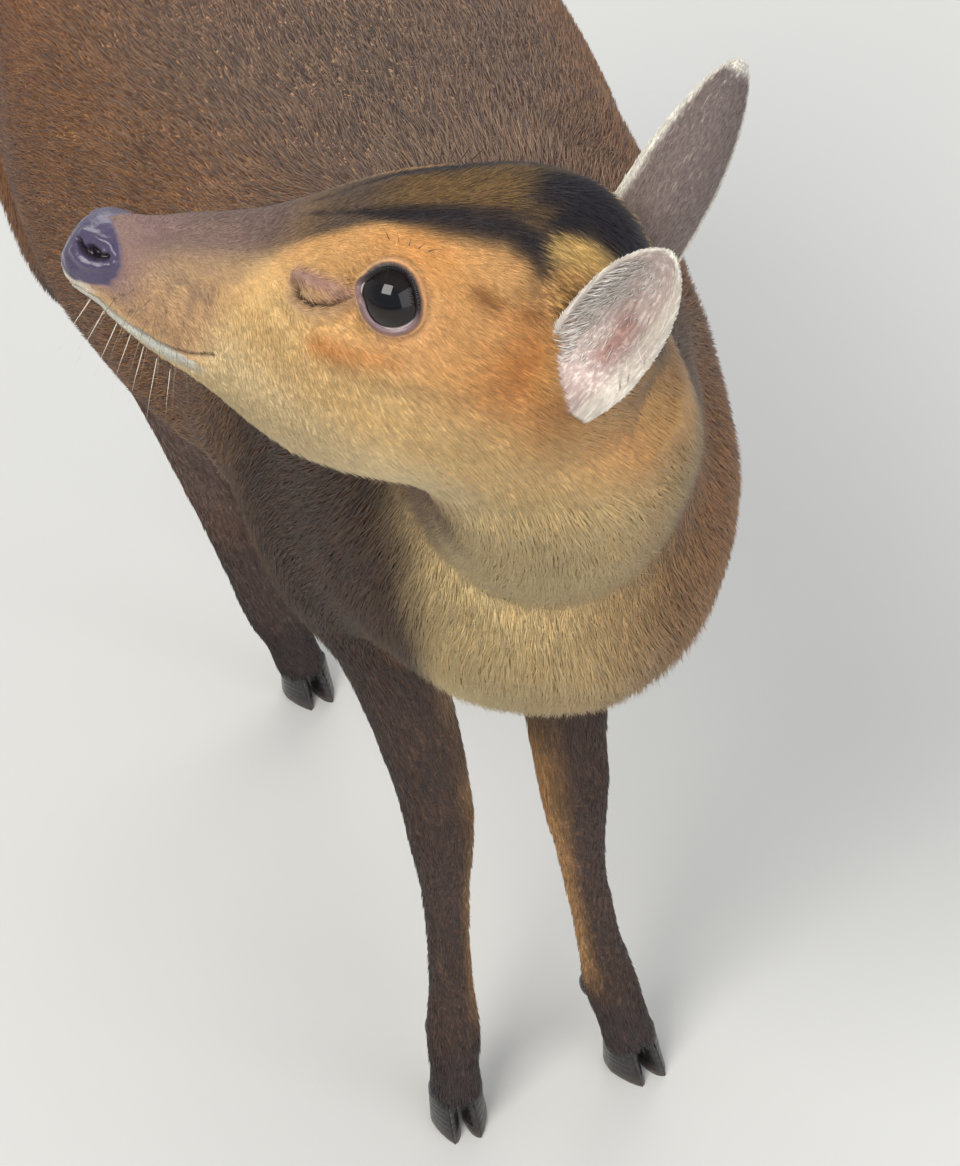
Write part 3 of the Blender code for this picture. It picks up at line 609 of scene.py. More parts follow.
def face_shape(p, normal, share):
    """Folds, lids, nostrils and lips, pressed into the skin of the head."""
    h = in_head(p)
    q = mirrored(h.copy())
    head = share[:, 2]
    lift = np.zeros(len(p))

    near_face = q[q[:, 0] > 0.0] if (q[:, 0] > 0).any() else q

    def snapped(line):
        """The line's places, moved to the skin."""
        table = np.array(line, float)
        found = []
        for a, b in zip(table, table[1:]):
            for k in range(4):
                at = a + (b - a) * k / 4
                found.append(near_face[np.argmin(((near_face - at) ** 2).sum(1))])
        found.append(near_face[np.argmin(((near_face - table[-1]) ** 2).sum(1))])
        return found

    def press(line, height, width, fade=None, power=2, snap=False):
        d, t = to_line(q, snapped(line) if snap else line)
        amount = height * np.exp(-((d / width) ** power))
        if fade is not None:
            amount = amount * fade(t)
        return amount

    # muzzle: flat nose bridge, swell of the upper lip, chin
    lift += 0.8 * hump(q[:, 0], 62, 12) * hump(q[:, 2], -52, 8) * ramp(6, 14, q[:, 1])
    lift -= 1.0 * hump(q[:, 0], 50, 14) * hump(q[:, 2], -38, 7) * ramp(8, 16, q[:, 1])
    lift -= 0.8 * hump(q[:, 0], 36, 12) * hump(q[:, 2], -22, 9) * ramp(8, 20, q[:, 1])
    # bone under the eye and the cheek
    lift += 1.0 * press([(30, 30, -22), (10, 40, -20), (-15, 42, -14), (-35, 41, -4)], 1.0, 6.0)
    lift -= 0.9 * hump(q[:, 0], 8, 16) * hump(q[:, 2], -38, 9) * ramp(20, 32, q[:, 1])
    lift += press(JAW, 0.9, 9.0)
    lift -= press([(-48, 38, 8), (-52, 38, -12), (-50, 37, -30), (-44, 36, -46)], 1.3, 6.0)
    # forehead hollow between the brows
    lift -= 1.3 * hump(q[:, 0], 2, 18) * hump(q[:, 1], 0, 8) * ramp(-5, 10, q[:, 2])
    lift -= press(STRIPE[1:5], 0.7, 2.6)
    lift += press(BROW, 1.7, 5.0, lambda t: 0.35 + 0.65 * t)
    d = np.linalg.norm(q - KNOB, axis=1)
    lift += 3.0 * np.exp(-((d / 6.0) ** 2))
    below = np.linalg.norm((q - (-32.0, 34.5, 21.5)) / (1.3, 1, 1), axis=1)
    lift -= 2.6 * np.exp(-((below / 4.4) ** 2))
    # gland in front of the eye
    lift += press(GLAND_FOLD, 1.9, 2.4, snap=True)
    slit = press(GLAND, 1.0, 1.15, lambda t: 0.45 + 0.55 * np.sin(np.pi * np.clip(t, 0, 1)), 3, True)
    lift -= 3.0 * slit
    lift += press([(28, 30, -14.0), (23, 32.5, -15.4), (17, 35.4, -13.2), (12, 36.5, -8.6)], 1.2, 1.6, snap=True)
    lift -= press([(28, 31, -18), (20, 34.5, -19.5), (10, 38.5, -18.5)], 0.5, 1.6)
    # nostril: pit, slit and rim
    middle = snapped([(86.0, 11.6, -46.6), (86.0, 11.6, -46.6)])[0]
    pit = np.linalg.norm((q - middle) / (1.6, 1.2, 0.9), axis=1)
    hole = np.exp(-((pit / 1.9) ** 4))
    slot = press(NOSTRIL, 1.0, 1.0, power=4, snap=True)
    lift -= np.maximum(4.6 * hole, 3.2 * slot)
    lift += press([(92.6, 6.6, -44.8), (88.0, 9.2, -42.6), (83.0, 11.4, -41.0), (79.2, 13.2, -42.8)], 0.9, 1.5, snap=True)
    lift += press([(90.5, 8.4, -51.6), (86.0, 12.6, -51.4), (81.0, 14.6, -49.0), (78.4, 14.8, -45.6)], 0.9, 1.5, snap=True)
    lift -= 0.8 * hump(q[:, 1], 0, 1.0) * ramp(88, 92, q[:, 0]) * ramp(-46, -50, q[:, 2])
    lift -= press([(87.0, 0, -38.6), (81.4, 7.7, -37.2), (76.9, 14.0, -40.4), (76.0, 16.2, -47.2), (78.8, 15.6, -54.0), (84.6, 12.8, -58.6), (92.0, 6.0, -58.8), (95.0, 0.0, -58.6)], 0.35, 0.9)
    # mouth
    mouth = press(MOUTH, 1.0, 0.95, lambda t: 1 - 0.15 * t, 3, True)
    lift -= 1.9 * mouth
    lift += press([(93.0, 3, -58.8), (84.0, 12.4, -60.4), (68.0, 17.0, -61.6), (53.0, 21.0, -58.6), (43.0, 26.0, -53.0)], 0.6, 1.4, snap=True)
    lift += press([(86.0, 8.0, -65.6), (76.0, 11.0, -67.0), (61.0, 15.0, -66.6), (50.0, 18.5, -64.0)], 0.7, 1.8, snap=True)
    corner = np.linalg.norm(q - (37.5, 28.2, -49.0), axis=1)
    lift -= 0.9 * np.exp(-((corner / 2.2) ** 2))
    # creases of the cheek and around the eye
    r, a, turn = eye_angles(q)
    edge = lid_angle(turn)
    upper = ramp(-0.2, 0.5, np.sin(turn))
    lift -= 0.75 * np.exp(-(((a - edge - 21) / 4.2) ** 2)) * upper
    lift -= 0.35 * np.exp(-(((a - edge - 30) / 5.0) ** 2)) * (1 - upper)
    lift += 0.10 * noise3(p, 210, 21) + 0.16 * noise3(p, 85, 22)
    p = p + normal * (lift * 0.001 * head)[:, None]

    # the socket: skin draws in to the ball, and dips out of sight behind the lids
    q = mirrored(in_head(p))
    r, a, turn = eye_angles(q)
    edge = lid_angle(turn)
    ball = EYE_RADIUS * 1000
    inside = head > 0.3
    lids = inside & (r < 26)
    target = ball + 1.05
    w = ramp(edge + 40, edge + 13, a) * ramp(26, 20, r)
    new = r * (1 - w) + target * w
    new = np.where(a < edge + 7, ball - 2.2, new)
    scale = np.where(lids, new / np.maximum(r, 1e-6), 1.0)
    centre = np.array(EYE_PLACE) * 1000
    q2 = centre + (q - centre) * scale[:, None]
    side = np.where(in_head(p)[:, 1] < 0, -1.0, 1.0)
    q2[:, 1] *= side
    moved = HEAD_AT + (q2 / 1000) @ np.stack([NOSE, LEFT, UP])
    return np.where(lids[:, None], moved, p), {"slit": slit * head, "hole": np.maximum(hole, slot) * head, "mouth": mouth * head}


def lid_ring(side):
    """The two lids of one eye: a lofted band that hugs the ball and runs out under the skin."""
    count = 96
    turn = np.linspace(-np.pi, np.pi, count, endpoint=False)
    edge = lid_angle(turn)
    upper = ramp(-0.2, 0.5, np.sin(turn))
    ball = EYE_RADIUS * 1000
    rows = [
        (-2.5 + 0 * edge, ball - 0.9 + 0 * edge),
        (-1.2 + 0 * edge, ball + 0.10 + 0 * edge),
        (-0.6 + 0 * edge, ball + 0.65 + 0 * edge),
        (1.6 + 0 * edge, ball + 1.15 + 0.15 * upper),
        (4.6 + 0 * edge, ball + 1.42 + 0.25 * upper),
        (8.5 + 0 * edge, ball + 1.40 + 0.25 * upper),
        (13.0 + 0 * edge, ball + 1.25 + 0.1 * upper),
        (18.0 + 0 * edge, ball + 0.9 + 0 * edge),
        (21.0 + 0 * edge, ball - 0.4 + 0 * edge),
    ]
    rings = []
    for more, r in rows:
        a = np.radians(edge + more)
        d = np.outer(np.cos(a), EYE_AXIS) + (np.sin(a) * np.cos(turn))[:, None] * EYE_FORE + (np.sin(a) * np.sin(turn))[:, None] * EYE_UP
        q = np.array(EYE_PLACE) * 1000 + d * r[:, None]
        q[:, 1] *= side
        rings.append(HEAD_AT + (q / 1000) @ np.stack([NOSE, LEFT, UP]))
    points = np.concatenate(rings)
    faces = loft_faces(len(rows), count)
    return points, faces if side > 0 else faces[:, ::-1]


def ear_axes(side):
    base = on_head(-0.0615, side * 0.0300, 0.001)
    length = unit(UP * 0.92 + LEFT * (0.38 if side > 0 else -0.42) - NOSE * 0.02)
    opening = LEFT * (0.97 * side) + NOSE * 0.22
    opening = unit(opening - length * (opening @ length))
    return base, length, opening, np.cross(length, opening)


def ear_shell(side, inset=0.0007):
    """One ear: a cupped shell with rolled edges and low ridges inside. Also gives, for each point, how far up it is, how far across, and whether it is inside."""
    base, length, opening, across = ear_axes(side)
    steps, count = 56, 25
    points, info = [], []
    for i in range(steps):
        v = i / (steps - 1)
        if v < 0.30:
            wide = 0.012 + (EAR_WIDTH - 0.012) * math.sin(v / 0.30 * math.pi / 2)
        else:
            wide = EAR_WIDTH * max(0.0, 1 - ((v - 0.30) / 0.72) ** 2.3) ** 0.62
        wide = max(wide - inset, 0.0012)
        cup = EAR_CUP * (0.75 + 0.6 * math.sin(min(1.0, v / 0.45) * math.pi / 2)) * (1 - v) ** 0.45
        cup = max(cup - inset, 0.0012)
        hollow = 0.0 if v < 0.16 else min(1.0, (v - 0.16) / 0.18)
        wall = 0.0016
        middle = base + length * ((EAR_LENGTH - inset) * v) - opening * (0.004 * math.sin(v * math.pi))
        u = np.linspace(-1, 1, count)
        dip = cup * (1 - np.abs(u) ** 2.1)
        back = middle + np.outer(u * wide, across) - np.outer(dip, opening)
        face = (1 - hollow) * 0.35 * dip - hollow * np.maximum(0.0, dip - wall)
        ridge = 0.0007 * np.sin(u * 9.5 + 0.6) * hollow * (1 - u**2) * (1 - v)
        lip = 0.0007 * np.exp(-(((np.abs(u) - 0.93) / 0.06) ** 2))
        front = middle + np.outer(u * wide * 0.985, across) + np.outer(face + ridge + lip, opening)
        points.append(np.concatenate([back, front[::-1]]))
        info.append(np.stack([np.full(2 * count, v), np.concatenate([u, u[::-1]]), np.repeat([0.0, 1.0], count)], 1))
    around = 2 * count
    faces = loft_faces(steps, around)
    last = (steps - 1) * around
    k = np.arange(count - 1)
    cap = np.stack([last + k, last + k + 1, last + around - 2 - k, last + around - 1 - k], 1)
    root = np.stack([k, around - 1 - k, around - 2 - k, k + 1], 1)
    faces = np.concatenate([faces, cap, root])
    points = np.concatenate(points)
    tri = all_tris(faces, np.zeros((0, 3), int))
    a, b, c = points[tri[:, 0]], points[tri[:, 1]], points[tri[:, 2]]
    if np.einsum("ij,ij->i", a, np.cross(b, c)).sum() < 0 or (np.cross(b - a, c - a) * (a - points.mean(0))).sum() < 0:
        faces = faces[:, ::-1]
    return points, faces, np.concatenate(info)


def tail_form():
    """The tail under its hair: a flat tapering tongue."""
    rings = []
    for i in range(40):
        v = i / 39
        y = 0.412 + 0.046 * math.sin(min(1.0, v * 1.7) * math.pi / 2) + 0.004 * v
        z = 0.441 - (TAIL_LENGTH - 0.016) * v
        wide = 0.010 + 0.006 * math.sin(math.pi * min(1.0, v * 1.15))
        wide *= 1 - max(0.0, (v - 0.80) / 0.20) ** 2 * 0.75
        deep = 0.0062 * (1 - max(0.0, (v - 0.75) / 0.25) ** 2 * 0.6)
        rings.append(oval((0, y, z), (1, 0, 0), (0, 1, 0.25), wide, deep, deep, 2.0, 28))
    points = np.concatenate(rings)
    faces = loft_faces(40, 28)
    k = np.arange(13)
    last = 39 * 28
    cap = np.stack([last + k, last + k + 1, last + 26 - k, last + 27 - k], 1)
    faces = np.concatenate([faces, cap])
    tri = all_tris(faces, np.zeros((0, 3), int))
    a, b, c = points[tri[:, 0]], points[tri[:, 1]], points[tri[:, 2]]
    if (np.cross(b - a, c - a) * ((a + b + c) / 3 - points.mean(0))).sum() < 0:
        faces = faces[:, ::-1]
    return points, faces




# ------------------------------------------------------------------ markings, the same for skin and coat
TAN, OCHRE, CREAM = srgb(198, 152, 104), srgb(190, 128, 66), srgb(232, 205, 156)
DARK, BLACK, ORANGE = srgb(86, 60, 42), srgb(26, 24, 34), srgb(222, 152, 76)


def blend_to(colour, other, amount):
    return colour + (other - colour) * np.clip(amount, 0, 1)[:, None]


def markings(p, normal, share, grain):
    """Ground colour and tip colour at each place of the body and head; grain, a random number for each place, is not
    used.
    """
    n = len(p)
    x, y, z = p.T
    low = noise3(p, 16, 31)
    mid = noise3(p, 60, 32)
    fine = noise3(p, 260, 33)
    up, side = normal[:, 2], np.abs(normal[:, 0])
    base = np.tile(srgb(104, 67, 40), (n, 1))
    tip = np.tile(srgb(228, 164, 98), (n, 1))
    # back: darker and greyer, with pale tips, where the coat faces up: partly the back's own darker colour, partly
    # painted sky reflection on the up-facing hair
    back = ramp(0.45, 0.95, up) * ramp(0.30, 0.42, z)
    base = blend_to(base, srgb(80, 66, 62), 0.70 * back)
    tip = blend_to(tip, srgb(196, 160, 126), 0.75 * back)
    spine = hump(x, 0.004, 0.016) * ramp(0.8, 0.97, up) * ramp(-0.02, 0.05, y)
    base = blend_to(base, srgb(58, 46, 40), 0.55 * spine)
    # flank towards the rump: warmer
    warm = ramp(0.10, 0.30, y)
    base = blend_to(base, srgb(122, 74, 38), 0.7 * warm * (1 - 0.8 * back))
    tip = blend_to(tip, srgb(234, 158, 84), 0.7 * warm)
    # shoulder and upper arm: dark
    arm = np.exp(-(((y - 0.028) / 0.055) ** 2)) * ramp(0.42, 0.33, z) * ramp(0.04, 0.07, np.abs(x - 0.012))
    base = blend_to(base, srgb(70, 51, 38), 0.75 * arm)
    tip = blend_to(tip, srgb(128, 92, 62), 0.6 * arm)
    # belly and between the thighs: pale
    belly = ramp(-0.45, -0.85, up) * ramp(0.03, 0.10, y) * ramp(0.20, 0.24, z)
    base = blend_to(base, srgb(206, 182, 146), 0.9 * belly)
    tip = blend_to(tip, srgb(232, 214, 186), belly)
    white = ramp(0.37, 0.42, y) * hump(x, 0, 0.030) * ramp(0.435, 0.40, z)
    base = blend_to(base, srgb(222, 210, 190), white)
    tip = blend_to(tip, srgb(240, 234, 222), white)
    haunch = ramp(0.30, 0.40, y) * (1 - white) * ramp(0.2, 0.3, z)
    base = blend_to(base, srgb(122, 80, 50), 0.5 * haunch)
    # chest and throat: cream, tan in streaks; the neck's sides grizzled, its nape dark
    neck = share[:, 1]
    h = in_head(p)
    rows = AXES["neck"][0]
    throat_way = np.array((-0.25, -0.80, -0.20))
    facing = normal @ unit(throat_way)
    chest = np.maximum(ramp(0.20, 0.70, facing), 0.9 * ramp(-0.13, -0.16, y) * ramp(0.2, 0.5, neck)) * ramp(0.00, -0.06, y) * ramp(-0.047, -0.036, x + 0.003 * mid)
    chest = chest * (1 - 0.85 * ramp(0.006, 0.050, x + 0.004 * mid + 0.08 * np.clip(0.40 - z, 0, 0.1) - 0.16 * np.clip(z - 0.41, 0, 0.06)))
    shoulder_colour_and_shade = ramp(-0.034, -0.044, x + 0.003 * mid) * ramp(0.6, 0.25, neck) * ramp(0.05, 0.01, y) * ramp(0.47, 0.42, z) * ramp(0.5, 0.2, share[:, 2])
    neckside = np.clip(neck * 1.2, 0, 1) * ramp(0.0, -0.04, y)
    base = blend_to(base, srgb(112, 82, 56), neckside)
    tip = blend_to(tip, srgb(196, 150, 98), neckside)
    nape = neckside * ramp(0.35, 0.9, normal @ unit((0.75, 0.55, 0.55)))
    base = blend_to(base, srgb(72, 56, 46), 0.8 * nape)
    tip = blend_to(tip, srgb(134, 106, 80), nape)
    # the shoulder beside the chest: its own dark brown, deepened with painted shade where the chest stands proud of it
    base = blend_to(base, srgb(56, 40, 32), 0.9 * shoulder_colour_and_shade)
    tip = blend_to(tip, srgb(122, 84, 52), 0.9 * shoulder_colour_and_shade)
    streak = 0.5 + 0.5 * noise3(p * (1, 1, 0.35), 55, 36)
    cream_here = srgb(232, 204, 146) + (srgb(206, 158, 98) - srgb(232, 204, 146)) * (0.75 * streak * ramp(-0.03, 0.02, x))[:, None]
    base = base + (cream_here - base) * chest[:, None]
    tip = blend_to(tip, srgb(246, 224, 172), chest)
    # legs
    for j, name in enumerate(PARTS):
        if name not in LEGS:
            continue
        c, run, radius = AXES[name]
        order = np.argsort(c[:, 2])
        which = order[np.clip(np.searchsorted(c[order, 2], z), 0, len(c) - 1)]
        off = p - c[which]
        inner = -1.0 if "left" in name else 1.0
        front = -off[:, 1] / radius[which]
        inside = off[:, 0] * inner / radius[which]
        if name.startswith("front"):
            on = np.clip(share[:, j] * 1.3, 0, 1) * ramp(0.285, 0.235, z)
            base = blend_to(base, srgb(62, 45, 38), on)
            tip = blend_to(tip, srgb(92, 66, 48), on)
            edge = on * ramp(-0.1, -0.7, front)
            base = blend_to(base, srgb(98, 70, 48), 0.8 * edge)
            pale = on * ramp(0.15, 0.60, inside) * hump(front, -0.10, 0.75) * ramp(0.040, 0.062, z) * ramp(0.205, 0.165, z)
            pale = pale * (1.0 if name == "front_left" else 0.75)
            base = blend_to(base, srgb(198, 146, 86), pale)
            tip = blend_to(tip, srgb(224, 180, 120), pale)
            elbow = on * ramp(0.18, 0.24, z) * ramp(0.2, 0.8, inside)
            base = blend_to(base, srgb(170, 132, 90), 0.8 * elbow)
            tip = blend_to(tip, srgb(205, 170, 125), 0.8 * elbow)
        else:
            on = np.clip(share[:, j] * 1.3, 0, 1) * ramp(0.30, 0.24, z)
            base = blend_to(base, srgb(116, 80, 54), on)
            tip = blend_to(tip, srgb(158, 112, 74), on)
            grey = on * ramp(-0.1, 0.7, front) * ramp(0.06, 0.12, z)
            base = blend_to(base, srgb(84, 72, 70), 0.85 * grey)
            tip = blend_to(tip, srgb(120, 104, 96), 0.7 * grey)
            shade = on * ramp(0.115, 0.075, z)
            base = blend_to(base, srgb(66, 52, 48), shade)
            tip = blend_to(tip, srgb(92, 72, 62), shade)
            pale = on * ramp(0.3, 0.8, inside) * ramp(0.14, 0.2, z)
            base = blend_to(base, srgb(196, 164, 122), 0.7 * pale)
        foot = share[:, j] * ramp(0.050, 0.030, z)
        base = blend_to(base, srgb(58, 44, 42), foot)
        tip = blend_to(tip, srgb(80, 62, 56), foot)
    # tail: brown above, white below
    tail = np.clip(share[:, 7] * 1.4, 0, 1) * ramp(0.435, 0.45, y + 0.02 * up)
    under = ramp(-0.1, -0.5, normal[:, 1])
    base = blend_to(base, srgb(134, 84, 48), tail)
    tip = blend_to(tip, srgb(186, 126, 74), tail)
    base = blend_to(base, srgb(234, 228, 216), tail * under)
    tip = blend_to(tip, srgb(246, 242, 234), tail * under)

    face_base, face_tip, bare = face_markings(h, p, fine, mid, low)
    head = np.clip(share[:, 2] * 1.6 - 0.25, 0, 1)
    # the cream of the jaw runs on down the throat, the dark band down the nape
    base = base + (face_base - base) * head[:, None]
    tip = tip + (face_tip - tip) * head[:, None]
    band = to_line(h * 1000, [(-60, 3, 47), (-80, 3, 30), (-95, 2, 8), (-118, 0, -16)])[0]
    stripe = np.exp(-((band / 13) ** 2)) * (neck + share[:, 0] * ramp(0.0, -0.05, y))
    base = blend_to(base, srgb(40, 32, 32), 0.75 * stripe)
    tip = blend_to(tip, srgb(70, 58, 52), 0.6 * stripe)
    grade = 1 + 0.10 * low + 0.10 * mid + 0.06 * fine
    base = base * grade[:, None]
    tip = tip * (1 + 0.05 * low + 0.06 * mid)[:, None]
    return base, tip, bare * head


def face_markings(h, p, fine, mid, low):
    n = len(h)
    q = mirrored(h.copy())
    s, a, t = q.T
    signed = h[:, 1] * 1000
    speck = 0.5 + 0.5 * fine
    base = np.tile(srgb(232, 194, 132), (n, 1))
    tip = np.tile(srgb(248, 218, 162), (n, 1))

    def lay(colour, tip_colour, amount):
        nonlocal base, tip
        base = blend_to(base, colour, amount)
        tip = blend_to(tip, tip_colour, amount)

    # warm ground on the upper cheek, brow and temple
    warm = ramp(-26, 2, t - 0.10 * s) * ramp(56, 30, s)
    lay(srgb(206, 146, 84), srgb(232, 180, 112), 0.85 * warm * (0.8 + 0.2 * mid))
    above = np.exp(-(((s + 2) / 22) ** 2) - (((t - 21) / 9) ** 2)) * ramp(12, 22, a)
    lay(srgb(226, 164, 92), srgb(244, 196, 128), above)
    temple = np.exp(-(((s + 46) / 12) ** 2) - (((t - 10) / 16) ** 2)) * ramp(22, 34, a)
    lay(srgb(206, 134, 62), srgb(228, 164, 92), 0.9 * temple)
    # jaw, chin and throat: cream
    jaw = ramp(-30, -52, t - 0.10 * s) * ramp(60, 30, s)
    lay(srgb(230, 204, 156), srgb(244, 224, 180), jaw * (0.9 + 0.1 * mid))
    # below the eye: orange, with dark hairs
    d, _ = to_line(q, [(12, 39, -19), (2, 41, -16), (-10, 42.5, -10)])
    lay(srgb(204, 134, 66), srgb(214, 150, 84), 0.85 * np.exp(-((d / 4.5) ** 2)))
    d, _ = to_line(q, [(6, 41, -22), (-16, 42.5, -17), (-34, 41, -12)])
    lay(srgb(150, 118, 82), srgb(186, 150, 106), 0.35 * np.exp(-((d / 3.5) ** 2)) * (0.5 + speck))
    # muzzle: purplish brown above, tan with dark specks at the side
    top = ramp(-50, -34, t + 0.42 * (70 - s)) * ramp(26, 40, s) * ramp(20, 8, a - 0.10 * (70 - s))
    side = ramp(34, 50, s) * (1 - top) * ramp(-66, -58, t)
    lay(srgb(188, 150, 114), srgb(214, 176, 132), 0.9 * side)
    lay(srgb(120, 98, 86), srgb(150, 124, 104), 0.55 * side * ramp(0.45, 0.85, speck) * ramp(-60, -40, t))
    lay(srgb(118, 96, 94), srgb(138, 116, 112), 0.92 * top)
    near_nose = ramp(60, 76, s) * ramp(-60, -52, t)
    lay(srgb(140, 112, 108), srgb(160, 132, 124), 0.85 * near_nose)
    bridge = ramp(48, 26, s) * ramp(-16, 2, t + 0.5 * (s - 10)) * ramp(19, 14, a)
    lay(srgb(84, 70, 62), srgb(136, 112, 84), bridge)
    # forehead: gold hairs over dark
    fore = ramp(24, 8, s) * ramp(-36, -28, s) * ramp(18, 13, a) * ramp(10, 16, t)
    lay(srgb(96, 72, 44), srgb(178, 138, 76), fore * (0.85 + 0.15 * mid))
    # whisker roots
    for row, (t0, slope) in enumerate(((-56.5, 0.06), (-52.5, 0.05), (-48.5, 0.05))):
        for k in range(5):
            at = np.array((73.0 - 6.0 * k - 2.0 * row, 14.0 + 1.3 * k, t0 + slope * 6.0 * k))
            dd = np.linalg.norm((q - at) / (1.0, 2.2, 1.0), axis=1) * 1.25
            lay(srgb(70, 52, 50), srgb(70, 52, 50), 0.75 * np.exp(-((dd / 0.85) ** 2)))
    # black: brow stripes, the crown and the band down the nape
    d, along = to_line(q, STRIPE)
    wide = 2.2 + 5.6 * ramp(0.22, 0.58, along) - 3.0 * ramp(0.88, 1.0, along)
    stripe = np.exp(-((d / wide) ** 4)) * ramp(0.0, 0.10, along + 0.03)
    lay(BLACK, srgb(44, 40, 50), 0.98 * stripe)
    d, _ = to_line(h * 1000, [(-24, 0, 49), (-34, 0, 53), (-45, 2, 52.5), (-55, 3.5, 49), (-66, 4, 42), (-80, 3, 30)])
    crown = np.exp(-((d / 13.5) ** 6)) * ramp(-16, -26, s)
    wedge = ramp(-24, -33, s) * ramp(-46, -38, s) * ramp(26, 22, a) * ramp(30, 40, t)
    lay(BLACK, srgb(50, 46, 56), 0.96 * np.maximum(crown, wedge))
    # cream between the band and the ears
    d, _ = to_line(q, [(-39, 22, 44), (-47, 19.5, 45), (-58, 17, 41), (-68, 14, 34)])
    lay(srgb(232, 192, 116), srgb(246, 216, 150), 0.95 * np.exp(-((d / 6.2) ** 4)) * (1 - 0.7 * crown))
    d, _ = to_line(q, [(-44, 27, 36), (-52, 30, 22), (-55, 33, 6)])
    lay(srgb(226, 180, 108), srgb(240, 204, 140), 0.7 * np.exp(-((d / 5) ** 2)))
    d = np.linalg.norm((q - (-60, 31, 4)) / (1.0, 1.4, 2.4), axis=1)
    lay(srgb(150, 94, 52), srgb(180, 120, 70), 0.55 * np.exp(-((d / 8) ** 2)))
    # painted shadow under the knob's lower edge
    d, _ = to_line(q, [(-22, 35.5, 22.5), (-32, 35.5, 20.5), (-40, 34, 25.0)])
    lay(srgb(140, 82, 36), srgb(160, 98, 48), 0.9 * np.exp(-((d / 2.6) ** 2)))
    # behind the ears and on the nape: grizzled brown
    rear = ramp(-66, -86, s + 0.25 * t) * ramp(-6, 14, t)
    lay(srgb(112, 92, 78), srgb(160, 136, 112), 0.9 * rear)
    # lids and gland
    r, ang, turn = eye_angles(q)
    edge = lid_angle(turn)
    rim = ramp(edge + 8, edge + 4, ang) * (r < 22)
    ring = ramp(edge + 30, edge + 10, ang) * (r < 24)
    lay(srgb(176, 140, 116), srgb(200, 160, 128), 0.35 * ring)
    lay(srgb(86, 66, 66), srgb(96, 74, 74), 0.85 * rim)
    lay(srgb(36, 26, 28), srgb(36, 26, 28), ramp(edge + 2.0, edge + 0.2, ang) * (r < 16))
    d, along = to_line(q, GLAND_FOLD)
    lay(srgb(170, 132, 126), srgb(186, 148, 138), 0.85 * np.exp(-((d / 3.0) ** 2)))
    d, along = to_line(q, GLAND)
    lay(srgb(52, 36, 36), srgb(58, 42, 40), 0.95 * np.exp(-((d / 1.35) ** 2)))
    lay(srgb(150, 116, 104), srgb(170, 134, 118), 0.5 * np.exp(-(((d - 2.6) / 1.2) ** 2)))
    # lips: pale strip under the nose, dark line, pale lower lip
    d, along = to_line(q, MOUTH)
    below = t < -60.5 + 0.30 * np.clip(50 - s, 0, 20) - 0.10 * np.clip(s - 60, 0, 30)
    lay(srgb(196, 200, 192), srgb(222, 224, 214), 0.92 * ramp(34, 42, s) * ramp(1.0, 1.6, d) * np.exp(-((d / 6.5) ** 4)) * below)
    lay(srgb(210, 204, 186), srgb(228, 222, 204), 0.85 * ramp(76, 84, s) * ramp(-57, -59.5, t))
    lay(srgb(60, 44, 44), srgb(66, 50, 48), 0.95 * np.exp(-((d / 1.25) ** 4)) * ramp(0.03, 0.10, along))
    # bare nose
    g = 86.3 - 0.70 * a + 1.25 * np.clip(-53.5 - t, 0, 20) - 1.3 * np.exp(-(((t + 47.5) / 4.5) ** 2)) + 0.25 * np.sin(1.7 * t) + 0.2 * np.sin(2.3 * a)
    bare = ramp(g - 1.3, g + 1.3, s) * ramp(-60.4, -59.2, t)
    lay(srgb(70, 62, 86), srgb(70, 62, 86), bare)
    # the nostril opening painted near black: painted shade inside the nostril
    pit = np.linalg.norm((q - (86.0, 11.6, -46.6)) / (1.5, 1.0, 0.85), axis=1)
    d, _ = to_line(q, NOSTRIL)
    hole = np.maximum(np.exp(-((pit / 2.0) ** 4)), np.exp(-((d / 1.0) ** 2)))
    lay(srgb(30, 18, 24), srgb(30, 18, 24), 0.95 * hole)
    bare = np.maximum(bare, 0.9 * rim * (r < 16))
    return base, tip, bare


def ear_markings(info, p, grain):
    """Colours of the ears: grey-brown behind, pale rim, pinkish inside with whitish hair."""
    v, u, inner = info.T
    low, mid = noise3(p, 90, 41), noise3(p, 330, 42)
    base = np.tile(srgb(124, 108, 104), (len(v), 1))
    tip = np.tile(srgb(156, 140, 132), (len(v), 1))
    root = ramp(0.30, 0.05, v)
    base = blend_to(base, srgb(150, 110, 84), 0.6 * root)
    tip = blend_to(tip, srgb(186, 146, 112), 0.6 * root)
    base = blend_to(base, srgb(86, 74, 74), 0.5 * ramp(0.75, 1.0, v) * (1 - inner))
    rim = np.clip(ramp(0.80, 0.95, np.abs(u)) + ramp(0.93, 0.99, v) + inner * ramp(0.42, 0.62, u), 0, 1)
    base = blend_to(base, srgb(226, 220, 204), 0.85 * rim)
    tip = blend_to(tip, srgb(244, 240, 228), rim)
    skin = srgb(194, 166, 156) + (srgb(182, 172, 168) - srgb(194, 166, 156)) * (0.5 + 0.5 * low)[:, None]
    base = base + (skin - base) * (inner * (1 - 0.7 * np.clip(rim, 0, 1)))[:, None]
    tip = blend_to(tip, srgb(232, 226, 214), inner)
    blot = inner * np.exp(-(((u - 0.12) / 0.34) ** 2)) * ramp(0.72, 0.40, v) * ramp(-0.25, 0.35, low)
    base = blend_to(base, srgb(142, 90, 78), 0.7 * blot)
    tip = blend_to(tip, srgb(176, 122, 104), 0.8 * blot)
    base = base * (1 + 0.10 * mid)[:, None]
    return base, tip


